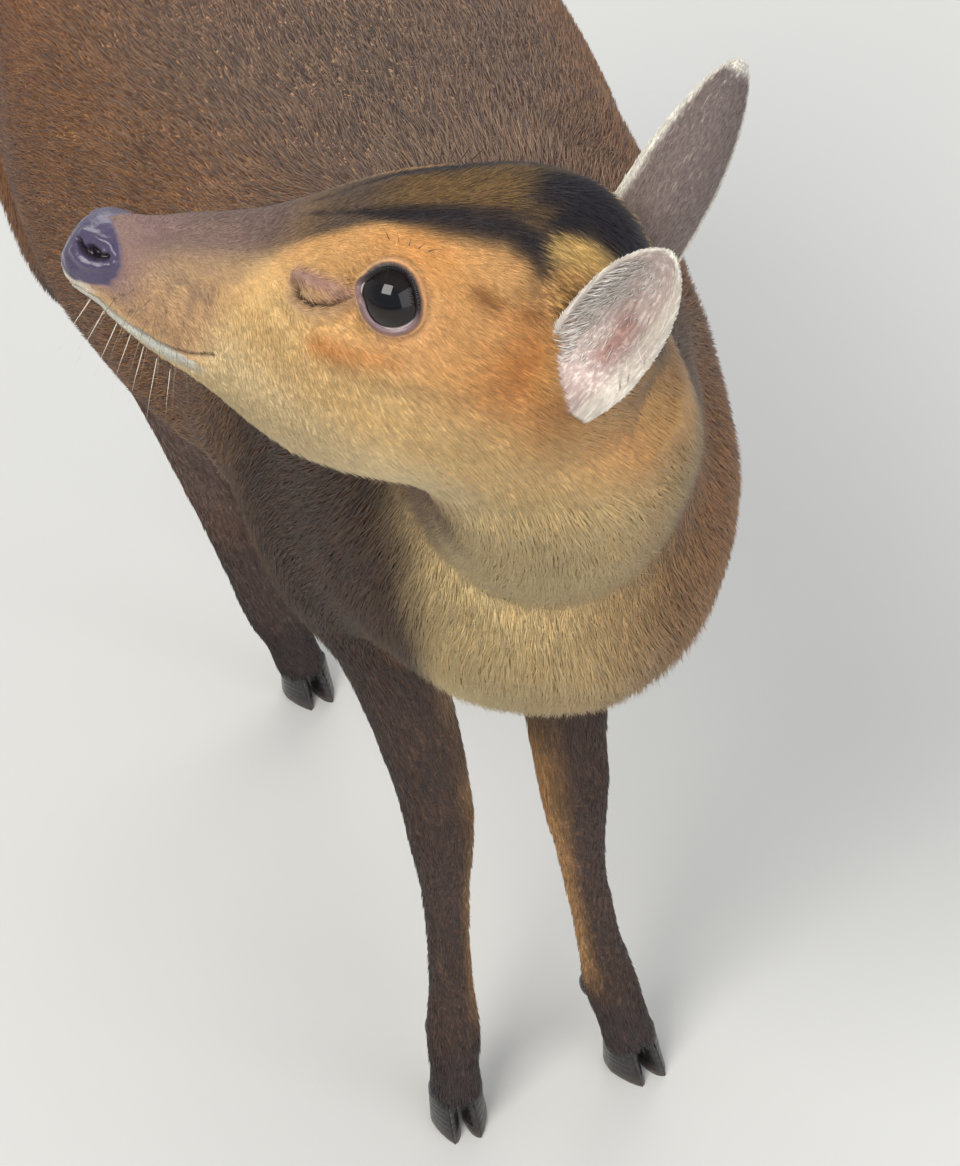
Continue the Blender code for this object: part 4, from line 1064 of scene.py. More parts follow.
# ------------------------------------------------------------------ materials
class Wires:
    """Short-hand for a material's node tree."""

    def __init__(self, name, colour, **sockets):
        self.mat = bpy.data.materials.new(name)
        self.mat.use_nodes = True
        self.tree = self.mat.node_tree
        self.shader = self.tree.nodes["Principled BSDF"]
        self.shader.inputs["Base Color"].default_value = (*colour, 1)
        for key, value in sockets.items():
            self.shader.inputs[key.replace("_", " ")].default_value = value
        self.mat.diffuse_color = (*colour, 1)

    def node(self, kind, **values):
        made = self.tree.nodes.new(kind)
        for key, value in values.items():
            if hasattr(made, key):
                setattr(made, key, value)
            else:
                made.inputs[key.replace("_", " ")].default_value = value
        return made

    def link(self, a, b):
        self.tree.links.new(a, b)

    def attribute(self, name, output="Color"):
        return self.node("ShaderNodeAttribute", attribute_name=name).outputs[output]

    def noise(self, vector, scale, detail=3.0, rough=0.55):
        made = self.node("ShaderNodeTexNoise", Scale=scale, Detail=detail, Roughness=rough)
        self.link(vector, made.inputs["Vector"])
        return made.outputs["Fac"]

    def spread(self, value, a, b, c, d):
        made = self.node("ShaderNodeMapRange")
        for key, number in zip(("From Min", "From Max", "To Min", "To Max"), (a, b, c, d)):
            made.inputs[key].default_value = number
        self.link(value, made.inputs["Value"])
        return made.outputs["Result"]

    def math(self, operation, a, b):
        made = self.node("ShaderNodeMath", operation=operation)
        for i, value in enumerate((a, b)):
            if isinstance(value, (int, float)):
                made.inputs[i].default_value = value
            else:
                self.link(value, made.inputs[i])
        return made.outputs[0]

    def scaled(self, colour, factor):
        """Colour times a number from nodes."""
        made = self.node("ShaderNodeVectorMath", operation="SCALE")
        self.link(colour, made.inputs[0])
        self.link(factor, made.inputs["Scale"])
        return made.outputs[0]

    def mixed(self, factor, a, b):
        made = self.node("ShaderNodeMix", data_type="RGBA")
        for key, value in ((0, factor), (6, a), (7, b)):
            if isinstance(value, tuple):
                made.inputs[key].default_value = (*value, 1)
            elif isinstance(value, (int, float)):
                made.inputs[key].default_value = value
            else:
                self.link(value, made.inputs[key])
        return made.outputs[2]

    def bump(self, height, strength, distance, after=None):
        made = self.node("ShaderNodeBump", Strength=strength, Distance=distance)
        self.link(height, made.inputs["Height"])
        if after is not None:
            self.link(after, made.inputs["Normal"])
        return made.outputs["Normal"]


def skin_material():
    w = Wires("coat_skin", srgb(110, 80, 55), Roughness=0.8, Specular_IOR_Level=0.42, Sheen_Weight=0.06, Sheen_Roughness=0.5)
    ground, bare = w.attribute("Coat"), w.attribute("Bare", "Fac")
    flow = w.attribute("Flow", "Vector")
    spot = w.node("ShaderNodeTexCoord").outputs["Object"]
    hair = w.noise(flow, 1.0, 4.0, 0.6)
    ticks = w.spread(hair, 0.50, 0.62, 0.0, 0.85)
    colour = w.mixed(w.math("MULTIPLY", ticks, w.spread(bare, 0.0, 0.3, 1.0, 0.0)), ground, w.attribute("Tip"))
    soft = w.noise(spot, 55.0, 3.0)
    factor = w.math("MULTIPLY", w.spread(hair, 0.30, 0.70, 0.72, 1.15), w.spread(soft, 0.3, 0.7, 0.90, 1.10))
    furry = w.scaled(colour, factor)
    pebble = w.node("ShaderNodeTexVoronoi", Scale=900.0)
    w.link(spot, pebble.inputs["Vector"])
    # bare skin darker towards the edges of each pebble, in the grooves between them: painted shade
    skin = w.scaled(colour, w.spread(pebble.outputs["Distance"], 0.0, 0.8, 1.06, 0.84))
    w.link(w.mixed(bare, furry, skin), w.shader.inputs["Base Color"])
    wet = w.spread(w.noise(spot, 300.0, 2.0), 0.3, 0.7, 0.22, 0.32)
    rough = w.node("ShaderNodeMix", data_type="FLOAT")
    w.link(bare, rough.inputs[0])
    rough.inputs[2].default_value = 0.8
    w.link(wet, rough.inputs[3])
    w.link(rough.outputs[0], w.shader.inputs["Roughness"])
    fur_height = w.math("MULTIPLY", hair, w.spread(bare, 0.0, 1.0, 1.0, 0.0))
    skin_height = w.math("MULTIPLY", pebble.outputs["Distance"], w.spread(bare, 0.0, 1.0, 0.0, -0.14))
    w.link(w.bump(w.math("ADD", fur_height, skin_height), 0.7, 0.0006), w.shader.inputs["Normal"])
    return w.mat


def hair_material():
    w = Wires("coat_hair", srgb(130, 95, 65), Roughness=0.62, Specular_IOR_Level=0.30, Sheen_Weight=0.12, Sheen_Roughness=0.45)
    spot = w.node("ShaderNodeTexCoord").outputs["Object"]
    factor = w.spread(w.noise(spot, 380.0, 2.0), 0.3, 0.7, 0.88, 1.12)
    w.link(w.scaled(w.attribute("Coat"), factor), w.shader.inputs["Base Color"])
    w.link(w.spread(w.noise(spot, 120.0, 2.0), 0.3, 0.7, 0.54, 0.72), w.shader.inputs["Roughness"])
    return w.mat


def eye_material():
    w = Wires("eye", srgb(14, 10, 12), Roughness=0.05, IOR=1.36, Coat_Weight=0.25, Coat_Roughness=0.02, Coat_IOR=1.36)
    spot = w.node("ShaderNodeTexCoord").outputs["Object"]
    factor = w.spread(w.noise(spot, 700.0, 3.0), 0.3, 0.7, 0.80, 1.20)
    w.link(w.scaled(w.attribute("Coat"), factor), w.shader.inputs["Base Color"])
    w.link(w.spread(w.noise(spot, 240.0, 2.0), 0.3, 0.7, 0.03, 0.09), w.shader.inputs["Roughness"])
    return w.mat


def horn_material():
    w = Wires("hoof", srgb(26, 24, 30), Roughness=0.3, Specular_IOR_Level=0.5, Coat_Weight=0.35, Coat_Roughness=0.18)
    spot = w.node("ShaderNodeTexCoord").outputs["Object"]
    split = w.node("ShaderNodeSeparateXYZ")
    w.link(spot, split.inputs[0])
    rings = w.math("SINE", w.math("ADD", w.math("MULTIPLY", split.outputs["Z"], 2600.0), w.math("MULTIPLY", w.noise(spot, 90.0), 6.0)), 0.0)
    stretched = w.node("ShaderNodeVectorMath", operation="MULTIPLY")
    w.link(spot, stretched.inputs[0])
    stretched.inputs[1].default_value = (1.0, 1.0, 0.12)
    fibre = w.noise(stretched.outputs[0], 1400.0, 3.0)
    shade = w.mixed(w.spread(fibre, 0.3, 0.75, 0.0, 1.0), tuple(srgb(16, 15, 20)), tuple(srgb(56, 48, 48)))
    worn = w.mixed(w.spread(split.outputs["Z"], 0.0, 0.005, 0.55, 0.0), shade, tuple(srgb(92, 80, 70)))
    w.link(worn, w.shader.inputs["Base Color"])
    w.link(w.spread(w.noise(spot, 300.0), 0.3, 0.7, 0.22, 0.48), w.shader.inputs["Roughness"])
    w.link(w.bump(w.math("ADD", w.math("MULTIPLY", rings, 0.5), fibre), 0.45, 0.0004), w.shader.inputs["Normal"])
    return w.mat


# ------------------------------------------------------------------ the skin object
def flow_of(p, lie):
    """Places stretched along the lie of the hair, for fine streaks."""
    across, along = 900.0, 90.0
    return p * across - lie * ((p * lie).sum(1) * (across - along))[:, None]


def make_skin(mat):
    points, quads, tris = grown_form()
    faces = all_tris(quads, tris)
    normal = normals_of(points, faces)
    share, runs, index = parts_at(points)
    h = in_head(points)
    points = points - normal * coat_depth(h, share, points, normal)[:, None]
    normal = normals_of(points, faces)
    points = body_shape(points, normal, share)
    fine = ramp(0.3, 0.7, share[:, 2])
    points = relaxed(points, faces, 0.25 + 0.75 * fine, 3)
    normal = normals_of(points, faces)
    points, dark = face_shape(points, normal, share)
    normal = normals_of(points, faces)
    body = dict(points=points, faces=faces, quads=quads, tris=tris, normal=normal, share=share, runs=runs)
    body["lie"] = lie_of_hair(points, normal, share, runs)
    rng = np.random.default_rng(5)
    base, tip, bare = markings(points, normal, share, rng.random(len(points)))
    # darker where the gland slit and the mouth are pressed in: partly the skin's own dark edge, partly painted shade in
    # the groove
    base = blend_to(base, srgb(50, 34, 34), 0.92 * dark["slit"])
    tip = blend_to(tip, srgb(50, 34, 34), 0.92 * dark["slit"])
    base = blend_to(base, srgb(62, 44, 44), 0.95 * dark["mouth"])
    tip = blend_to(tip, srgb(62, 44, 44), 0.95 * dark["mouth"])
    # the nostril pit painted near black: painted shade inside the nostril
    base = blend_to(base, srgb(26, 16, 20), 0.97 * dark["hole"])
    body["bare"] = np.maximum.reduce([bare, 0.8 * dark["slit"], dark["mouth"], dark["hole"]])
    bare = np.maximum(bare, 0.5 * dark["slit"])

    all_points, all_quads, colours, bares, flows = [points], [quads], [base], [bare], [flow_of(points, body["lie"])]
    tips = [tip]
    count = len(points)
    ears = {}
    for side in (1, -1):
        q, f = lid_ring(side)
        n = normals_of(q, all_tris(f, np.zeros((0, 3), int)))
        s = np.zeros((len(q), len(PARTS)))
        s[:, 2] = 1.0
        b, t, _ = markings(q, n, s, np.zeros(len(q)))
        row = np.repeat(np.arange(9), 96)
        turn = np.tile(np.linspace(-np.pi, np.pi, 96, endpoint=False), 9)
        lower = ramp(0.2, -0.4, np.sin(turn))
        pale = np.isin(row, (1, 2)) * lower
        dark = np.isin(row, (1, 2, 3)) * (1 - lower)
        b = blend_to(b, srgb(26, 18, 20), 0.9 * dark)
        b = blend_to(b, srgb(150, 122, 126), 0.7 * pale)
        wet = np.isin(row, (0, 1, 2, 3)) * 0.9
        all_points.append(q), all_quads.append(f + count), colours.append(b), bares.append(wet), tips.append(b)
        flows.append(q * 500)
        count += len(q)
        q, f, info = ear_shell(side)
        n = normals_of(q, all_tris(f, np.zeros((0, 3), int)))
        b, t = ear_markings(info * (1, side, 1), q, None)
        all_points.append(q), all_quads.append(f + count), colours.append(b), bares.append(0.15 * info[:, 2]), tips.append(t)
        base_at, length, opening, across = ear_axes(side)
        lie = np.tile(length, (len(q), 1))
        flows.append(flow_of(q, lie))
        ears[side] = dict(points=q, faces=all_tris(f, np.zeros((0, 3), int)), normal=n, info=info)
        count += len(q)
    q, f = tail_form()
    n = normals_of(q, all_tris(f, np.zeros((0, 3), int)))
    s = np.zeros((len(q), len(PARTS)))
    s[:, 7] = 1.0
    b, t, _ = markings(q, n, s, np.zeros(len(q)))
    all_points.append(q), all_quads.append(f + count), colours.append(b), bares.append(np.zeros(len(q))), tips.append(t)
    flows.append(flow_of(q, np.tile((0.0, 0.0, -1.0), (len(q), 1))))
    tail = dict(points=q, faces=all_tris(f, np.zeros((0, 3), int)), normal=n)
    obj = new_object("skin", np.concatenate(all_points), [np.concatenate(all_quads), tris], mat)
    set_colour(obj, "Coat", np.concatenate(colours))
    set_colour(obj, "Tip", np.concatenate(tips))
    set_value(obj, "Bare", np.concatenate(bares))
    set_vector(obj, "Flow", np.concatenate(flows))
    return obj, body, ears, tail


# ------------------------------------------------------------------ eyes and hooves
def eye_ball(name, side, mat):
    gaze = unit(EYE_AXIS + 0.14 * (0.94 * EYE_FORE + 0.15 * EYE_UP))
    fore = unit(EYE_FORE - gaze * (EYE_FORE @ gaze))
    up = np.cross(fore, gaze)
    up = up if up @ EYE_UP > 0 else -up
    rows, count = 72, 96
    a = np.concatenate([np.linspace(0.2, 78, 56), np.linspace(84, 179.8, rows - 56)])
    turn = np.linspace(0, 2 * np.pi, count, endpoint=False)
    a_, t_ = np.repeat(np.radians(a), count), np.tile(turn, rows)
    d = np.outer(np.cos(a_), gaze) + (np.sin(a_) * np.cos(t_))[:, None] * fore + (np.sin(a_) * np.sin(t_))[:, None] * up
    r = (EYE_RADIUS - 0.00015) + 0.0004 * np.exp(-((np.degrees(a_) / 34) ** 4))
    q = np.array(EYE_PLACE) + d * r[:, None]
    q[:, 1] *= side
    points = HEAD_AT + q @ np.stack([NOSE, LEFT, UP])
    faces = loft_faces(rows, count)
    k = np.arange(count // 2 - 1)
    last = (rows - 1) * count
    front = np.stack([k, k + 1, count - 2 - k, count - 1 - k], 1)
    rear = np.stack([last + k, last + count - 1 - k, last + count - 2 - k, last + k + 1], 1)
    faces = np.concatenate([faces, front[:, ::-1], rear[:, ::-1]])
    if side > 0:
        faces = faces[:, ::-1]
    obj = new_object(name, points, faces, mat)
    deg = np.degrees(a_)
    # a long, level pupil in a dark brown iris, then the white
    across = np.hypot(np.cos(t_) * deg / 30, np.sin(t_) * deg / 17)
    fibre = 0.5 + 0.5 * np.sin(t_ * 43 + 2 * np.sin(t_ * 17))
    colour = np.tile(srgb(20, 12, 10), (len(points), 1)) * (0.7 + 0.6 * fibre)[:, None]
    colour = blend_to(colour, srgb(6, 6, 10), ramp(1.05, 0.9, across))
    colour = blend_to(colour, srgb(10, 8, 10), ramp(44, 49, deg))
    colour = blend_to(colour, srgb(196, 184, 182), ramp(51, 55, deg))
    colour = blend_to(colour, srgb(132, 92, 86), ramp(62, 72, deg))
    set_colour(obj, "Coat", colour)
    return obj


def claw_points(foot, side):
    x0, y0, turn = FEET[foot]
    a = math.radians(turn)
    ahead = np.array((math.sin(a), -math.cos(a), 0))
    right = np.array((-math.cos(a), -math.sin(a), 0))
    out = right * side
    rings, count, rows = [], 40, 18
    for v in np.linspace(0, 1, rows):
        z = HOOF_HEIGHT * v
        shrink = 0.00015 + 0.0016 * max(0.0, (v - 0.86) / 0.14) ** 2 + 0.0004 * max(0.0, (0.06 - v) / 0.06)
        shrink -= 0.00010 * math.sin(v * 44)
        toe = HOOF_LENGTH * (0.56 - 0.30 * v) - shrink
        heel = HOOF_LENGTH * (0.44 - 0.08 * v) - shrink
        wide = HOOF_WIDTH * (1.0 - 0.10 * v) - shrink
        t = np.linspace(0, 2 * np.pi, count, endpoint=False)
        c, s = np.cos(t), np.sin(t)
        along = np.where(c > 0, np.sign(c) * np.abs(c) ** 0.9 * toe, c * heel)
        inner = HOOF_SPLIT / 2 + 0.0001 + wide * (0.5 + 0.5 * s)
        outer = HOOF_SPLIT / 2 + wide * (0.5 + 0.5 * s * (1 - 0.30 * np.maximum(0, c)))
        across = np.where(s < 0, inner, outer) - 0.0016 * np.maximum(0, c) * np.where(s > 0, 1, 0.2)
        rings.append(np.array((x0, y0, z)) + np.outer(along, ahead) + np.outer(across, out))
    points = np.concatenate(rings)
    faces = loft_faces(rows, count)
    k = np.arange(count // 2 - 1)
    last = (rows - 1) * count
    sole = np.stack([k, count - 1 - k, count - 2 - k, k + 1], 1)
    top = np.stack([last + k, last + k + 1, last + count - 2 - k, last + count - 1 - k], 1)
    faces = np.concatenate([faces, sole, top])
    # both claws face outward
    tri = all_tris(faces, np.zeros((0, 3), int))
    p = points[tri]
    if (np.cross(p[:, 1] - p[:, 0], p[:, 2] - p[:, 0]) * (p.mean(1) - points.mean(0))).sum() < 0:
        faces = faces[:, ::-1]
    return points, faces


def dewclaw_points(foot, side):
    rows = smooth_rows(LEGS[foot], 60)
    near = rows[np.argmin(np.abs(rows[:, 2] - 0.036))]
    turn = math.radians(FEET[foot][2])
    ahead = np.array((math.sin(turn), -math.cos(turn), 0))
    right = np.array((-math.cos(turn), -math.sin(turn), 0))
    middle = near[:3] - ahead * 0.0125 + right * (side * 0.0062)
    rings, count, steps = [], 20, 14
    for v in np.linspace(-0.98, 0.98, steps):
        r = math.sqrt(1 - v * v) * (1 - 0.18 * (1 - v) * 0.5)
        t = np.linspace(0, 2 * np.pi, count, endpoint=False)
        rings.append(middle + np.outer(np.cos(t) * r * 0.0034, right) + np.outer(np.sin(t) * r * 0.0044, ahead) + np.array((0, 0, 0.0060 * v)))
    points = np.concatenate(rings)
    faces = loft_faces(steps, count)
    k = np.arange(count // 2 - 1)
    last = (steps - 1) * count
    faces = np.concatenate([faces, np.stack([k, count - 1 - k, count - 2 - k, k + 1], 1), np.stack([last + k, last + k + 1, last + count - 2 - k, last + count - 1 - k], 1)])
    p = points[all_tris(faces, np.zeros((0, 3), int))]
    if (np.cross(p[:, 1] - p[:, 0], p[:, 2] - p[:, 0]) * (p.mean(1) - points.mean(0))).sum() < 0:
        faces = faces[:, ::-1]
    return points, faces


def make_feet(mat):
    for foot in FEET:
        for word, side in (("a", 1), ("b", -1)):
            for kind, made in (("hoof", claw_points(foot, side)), ("dewclaw", dewclaw_points(foot, side))):
                node = f"{kind}_{foot}_{word}"
                obj = new_object(node + "_horn", *made, mat)
                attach(obj, "root")
                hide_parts(node)


# ------------------------------------------------------------------ coat
PATCH = 0.0030


def scatter(rng, points, faces, weight, count):
    """Roots spread evenly over the faces by area and weight: three corners and their shares for each root."""
    p = points[faces]
    area = np.linalg.norm(np.cross(p[:, 1] - p[:, 0], p[:, 2] - p[:, 0]), axis=1)
    area = area * weight[faces].mean(1)
    run = np.cumsum(area)
    at = (np.arange(count) + rng.random(count)) / count * run[-1]
    which = np.clip(np.searchsorted(run, at), 0, len(faces) - 1)
    a, b = rng.random(count), rng.random(count)
    over = a + b > 1
    a[over], b[over] = 1 - a[over], 1 - b[over]
    return faces[which], np.stack([1 - a - b, a, b], 1)


def carried(values, corners, shares):
    """A value of the skin's points at each root."""
    if values.ndim == 1:
        return (values[corners] * shares).sum(1)
    return (values[corners] * shares[:, :, None]).sum(1)


def patch_uv(centre, layout):
    """Each root's small patch, with the corners of its faces laid out inside it."""
    centre = np.clip(centre, PATCH, 1 - PATCH)
    return centre[:, None, :] + (np.asarray(layout)[None] - 0.5) * PATCH


def coat_piece(name, points, faces, base, tip, blend, uv, mat, first):
    """One mesh of many tufts. faces is for one tuft, blend the tip's share of colour at each of its points."""
    count, own = len(points), points.shape[1]
    all_faces = (np.asarray(faces)[None] + (np.arange(count) * own)[:, None, None]).reshape(-1, 3)
    colour = base[:, None, :] + (tip - base)[:, None, :] * blend[None, :, None]
    # the root points of each tuft are painted darker: painted shade deep in the coat
    root_shade = np.where(blend < 0.01, 0.80, 1.0)
    colour = colour * root_shade[None, :, None]
    obj = new_object(name, points.reshape(-1, 3), all_faces, mat)
    set_colour(obj, "Coat", colour.reshape(-1, 3))
    layer = obj.data.uv_layers.new(name="OFBake")
    layer.data.foreach_set("uv", uv.astype(np.float32).ravel())
    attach(obj, "root")
    return obj


SPIKE = [(0, 2, 1), (0, 1, 3), (1, 2, 3), (0, 3, 2)]
# the square's four quarters, one for each face, with the tip in the middle
SPIKE_UV = [(0, 0), (0.5, 0.42), (1, 0), (1, 0), (1, 1), (0.55, 0.5), (1, 1), (0, 1), (0.5, 0.55), (0, 0), (0.45, 0.5), (0, 1)]


def spikes(name, r, mat):
    """Short straight tufts, four faces each."""
    p, n, lie = r["p"], r["n"], r["lie"]
    across = np.cross(n, lie)
    long, wide, rise = r["long"][:, None], r["wide"][:, None], r["rise"][:, None]
    start = p - n * 0.00030 - lie * 0.0003
    a, b = start - across * wide / 2, start + across * wide / 2
    c = p + n * (0.32 * wide)
    tip = p + lie * np.sqrt(np.maximum(long**2 - rise**2, 1e-9)) + n * rise
    points = np.stack([a, b, c, tip], 1)
    uv = patch_uv(r["uv"], SPIKE_UV)
    pieces = []
    for k, start in enumerate(range(0, len(p), 48000)):
        s = slice(start, start + 48000)
        pieces.append(coat_piece(f"{name}_{k + 1}", points[s], SPIKE, r["base"][s], r["tip"][s], np.array([0, 0, 0.15, 1.0]), uv[s], mat, k))
    return pieces


LOCK = [(0, 2, 1)]
LOCK_UV = [(0.70, 0.72), (0.98, 0.72), (0.84, 0.98)]
for _i, (_a, _b) in enumerate(((0, 1), (1, 2), (2, 0))):
    _x = _i / 3
    LOCK += [(_a, _b, _b + 3), (_a, _b + 3, _a + 3), (_a + 3, _b + 3, 6)]
    LOCK_UV += [(_x + 0.01, 0.0), (_x + 0.30, 0.0), (_x + 0.30, 0.4), (_x + 0.01, 0.0), (_x + 0.30, 0.4), (_x + 0.01, 0.4), (_x + 0.01, 0.42), (_x + 0.30, 0.42), (_x + 0.15, 0.68)]


def locks(name, r, mat, swell=0.85, limit=19500):
    """Longer tufts that bend once, ten faces each."""
    p, n, lie = r["p"], r["n"], r["lie"]
    across = np.cross(n, lie)
    long, wide, rise = r["long"][:, None], r["wide"][:, None], r["rise"][:, None]
    bend = r.get("bend", np.zeros_like(p))
    flat = np.sqrt(np.maximum(long**2 - rise**2, 1e-9))
    start = p - n * 0.0004 - lie * 0.0004
    half = p + lie * flat * 0.50 + n * rise * 0.66 + bend * long * 0.22
    tip = p + lie * flat + n * rise + bend * long
    points = np.stack(
        [
            start - across * wide / 2, start + across * wide / 2, p + n * (0.30 * wide),
            half - across * wide * swell / 2, half + across * wide * swell / 2, half + n * (0.30 * wide),
            tip,
        ],
        1,
    )
    uv = patch_uv(r["uv"], LOCK_UV)
    pieces = []
    for k, start in enumerate(range(0, len(p), limit)):
        s = slice(start, start + limit)
        pieces.append(coat_piece(f"{name}_{k + 1}", points[s], LOCK, r["base"][s], r["tip"][s], np.array([0, 0, 0.05, 0.45, 0.45, 0.55, 1.0]), uv[s], mat, k))
    return pieces


def round_place(p, middle, along, front, low, high):
    """Where a root lies on the part's unwrap: how far round it, and how far along."""
    along = unit(np.asarray(along, float))
    front = unit(np.asarray(front, float) - along * (np.asarray(front, float) @ along))
    off = p - middle
    turn = np.arctan2(off @ np.cross(along, front), off @ front)
    return np.stack([turn / (2 * np.pi) + 0.5, (off @ along - low) / (high - low)], 1)


def grow_coat(body, ears, tail, mat):
    rng = np.random.default_rng(20)
    points, faces, share, normal = body["points"], body["faces"], body["share"], body["normal"]
    legs = share[:, 3:7].sum(1)
    x, y, z = points.T
    h = in_head(points)
    q = mirrored(h.copy())
    r, a, turn = eye_angles(q)
    edge = lid_angle(turn)
    near_eye = (share[:, 2] > 0.4) & (r < 17) & (a < edge + 5)
    mouth, _ = to_line(q, MOUTH)
    pit = np.linalg.norm((q - (86.0, 11.6, -46.6)) / (1.5, 1.0, 0.85), axis=1)
    gland, _ = to_line(q, GLAND)
    open_skin = (body["bare"] > 0.25) | near_eye | ((share[:, 2] > 0.4) & ((pit < 2.6) | (gland < 1.2)))
    free = np.where(open_skin, 0.0, 1.0)
    head_w = ramp(0.35, 0.65, share[:, 2])
    leg_w = ramp(0.35, 0.65, legs) * ramp(0.31, 0.27, z) * (1 - head_w)
    fore = ramp(0.030, -0.035, y)
    lock_w = np.clip(np.maximum(ramp(0.30, 0.60, share[:, 1]), fore), 0, 1) * (1 - head_w) * (1 - leg_w)
    body_w = (1 - head_w) * (1 - leg_w) * (1 - lock_w)
    sole = ramp(0.0165, 0.0185, z)
    made = []

    def root_values(weight, count):
        corners, shares = scatter(rng, points, faces, weight * free, count)
        got = {"p": carried(points, corners, shares), "n": unit(carried(normal, corners, shares))}
        lie = unit(carried(body["lie"], corners, shares))
        got["share"] = carried(share, corners, shares)
        jitter = rng.normal(0, 1, (count, 3))
        got["jitter"] = jitter
        got["lie"] = lie
        got["grain"] = rng.random(count)
        return got

    def combed(got, spread):
        lie = got["lie"] + got["jitter"] * spread
        lie -= got["n"] * (lie * got["n"]).sum(1, keepdims=True)
        got["lie"] = unit(lie)

    def coloured(got, ticking, deep=0.80):
        base, tip, bare = markings(got["p"], got["n"], got["share"], got["grain"])
        g = got["grain"]
        amount = np.clip((g - ticking) / (1 - ticking + 1e-6), 0, 1) ** 0.6
        got["tip"] = base * (1.06 - 0.1 * g)[:, None] + (tip - base) * amount[:, None]
        shade = 0.82 + 0.32 * rng.random(len(g))
        # deep darkens each tuft's lower colour: painted shade inside the coat, kept light on the face and neck
        got["base"] = base * (deep * shade)[:, None]
        got["tip"] = got["tip"] * (0.92 + 0.16 * rng.random(len(g)))[:, None]
        return got

    # trunk
    count = int(158000)
    got = root_values(body_w, count)
    combed(got, 0.13)
    noise = noise3(got["p"], 45, 51)
    up = got["n"][:, 2]
    long = 0.0082 + 0.0035 * ramp(-0.3, -0.8, up) + 0.002 * ramp(0.36, 0.42, got["p"][:, 1])
    got["long"] = long * (0.75 + 0.5 * rng.random(count)) * (1 + 0.12 * noise)
    got["wide"] = 0.00056 * (0.7 + 0.6 * rng.random(count))
    got["rise"] = 0.0022 * (0.30 + 0.62 * rng.random(count)) * (1 + 0.25 * noise)
    coloured(got, 0.34, 0.86)
    got["uv"] = round_place(got["p"], (0.01, 0.0, 0.35), (0, 1, 0), (0, 0, 1), -0.13, 0.47)
    made += spikes("coat_body", got, mat)
    # legs
    count = int(40000)
    got = root_values(leg_w * sole * (1 + 0.8 * ramp(0.06, 0.03, z)), count)
    combed(got, 0.12)
    lz = got["p"][:, 2]
    long = 0.0046 + 0.0030 * ramp(0.12, 0.24, lz) + 0.0020 * ramp(0.055, 0.028, lz)
    got["long"] = long * (0.75 + 0.5 * rng.random(count))
    got["wide"] = 0.00058 * (0.7 + 0.6 * rng.random(count))
    got["rise"] = (0.0009 + 0.0018 * ramp(0.20, 0.29, lz)) * (0.35 + 0.8 * rng.random(count))
    coloured(got, 0.45)
    which = got["share"][:, 3:7].argmax(1)
    uv = np.zeros((count, 2))
    for j, name in enumerate(LEGS):
        on = which == j
        c = AXES[name][0]
        order = np.argsort(c[:, 2])
        near = order[np.clip(np.searchsorted(c[order, 2], lz[on]), 0, len(c) - 1)]
        off = got["p"][on] - c[near]
        uv[on, 0] = (j + 0.02 + 0.96 * (np.arctan2(off[:, 0], -off[:, 1]) / (2 * np.pi) + 0.5)) / 4
        uv[on, 1] = lz[on] / 0.34
    got["uv"] = uv
    made += spikes("coat_legs", got, mat)
    # face
    count = int(84000)
    q_all = q
    dense = 1.0 + 0.9 * ramp(-10, 40, q_all[:, 0]) + 0.5 * ramp(24, 15, r)
    got = root_values(head_w * dense, count)
    q = mirrored(in_head(got["p"]))
    s, side, t = q.T
    r_, a_, turn_ = eye_angles(q)
    edge_ = lid_angle(turn_)
    near, _ = to_line(q, MOUTH)
    long = 1.9 + 1.3 * ramp(78, 30, s) + 1.5 * ramp(30, -10, s) + 2.2 * ramp(-20, -60, s)
    long *= 1 - 0.45 * ramp(60, 80, s)
    crown, _ = to_line(q, [(-24, 0, 49), (-34, 0, 53), (-45, 0, 52.5), (-60, 0, 46), (-80, 0, 30)])
    long += 2.6 * np.exp(-((crown / 11) ** 2)) * ramp(-20, -34, s)
    long += 2.0 * ramp(-50, -66, t) * ramp(30, -10, s)
    long *= 0.42 + 0.58 * ramp(edge_ + 5, edge_ + 34, a_)
    long *= 0.60 + 0.40 * ramp(1.0, 6.0, near)
    got["long"] = long * 0.001 * (0.75 + 0.5 * rng.random(count))
    got["wide"] = (0.00034 + 0.00012 * ramp(30, -50, s)) * (0.75 + 0.5 * rng.random(count))
    depth = coat_depth(in_head(got["p"]), got["share"], got["p"], got["n"])
    got["rise"] = np.minimum(depth, 0.42 * got["long"]) * (0.22 + 0.55 * rng.random(count)) + 0.00008
    combed(got, 0.11)
    coloured(got, 0.15, 0.97)
    got["uv"] = round_place(got["p"], on_head(0, 0, -0.012), NOSE, UP, -0.100, 0.105)
    made += spikes("coat_head", got, mat)
    # neck, throat and chest
    count = int(60000)
    got = root_values(lock_w, count)
    p = got["p"]
    facing = got["n"] @ unit((-0.25, -0.80, -0.20))
    chest = ramp(0.2, 0.8, facing)
    noise = noise3(p, 60, 52)
    got["jitter"] = got["jitter"] + noise[:, None] * np.cross(got["n"], got["lie"])
    combed(got, 0.15)
    long = 0.0100 + 0.0045 * chest + 0.003 * ramp(-0.3, -0.8, got["n"][:, 2])
    got["long"] = long * (0.72 + 0.56 * rng.random(count)) * (1 + 0.15 * noise)
    got["wide"] = 0.00056 * (0.7 + 0.6 * rng.random(count))
    got["rise"] = (0.0028 + 0.0008 * chest) * (0.35 + 0.65 * rng.random(count)) * (1 + 0.3 * noise)
    got["bend"] = np.tile((0.0, 0.0, -0.10), (count, 1)) * chest[:, None]
    coloured(got, 0.20, 0.95)
    got["uv"] = round_place(p, (0.010, -0.04, 0.36), (-0.015, -0.12, 0.25), (0, -1, 0), -0.16, 0.20)
    made += spikes("coat_neck", got, mat)
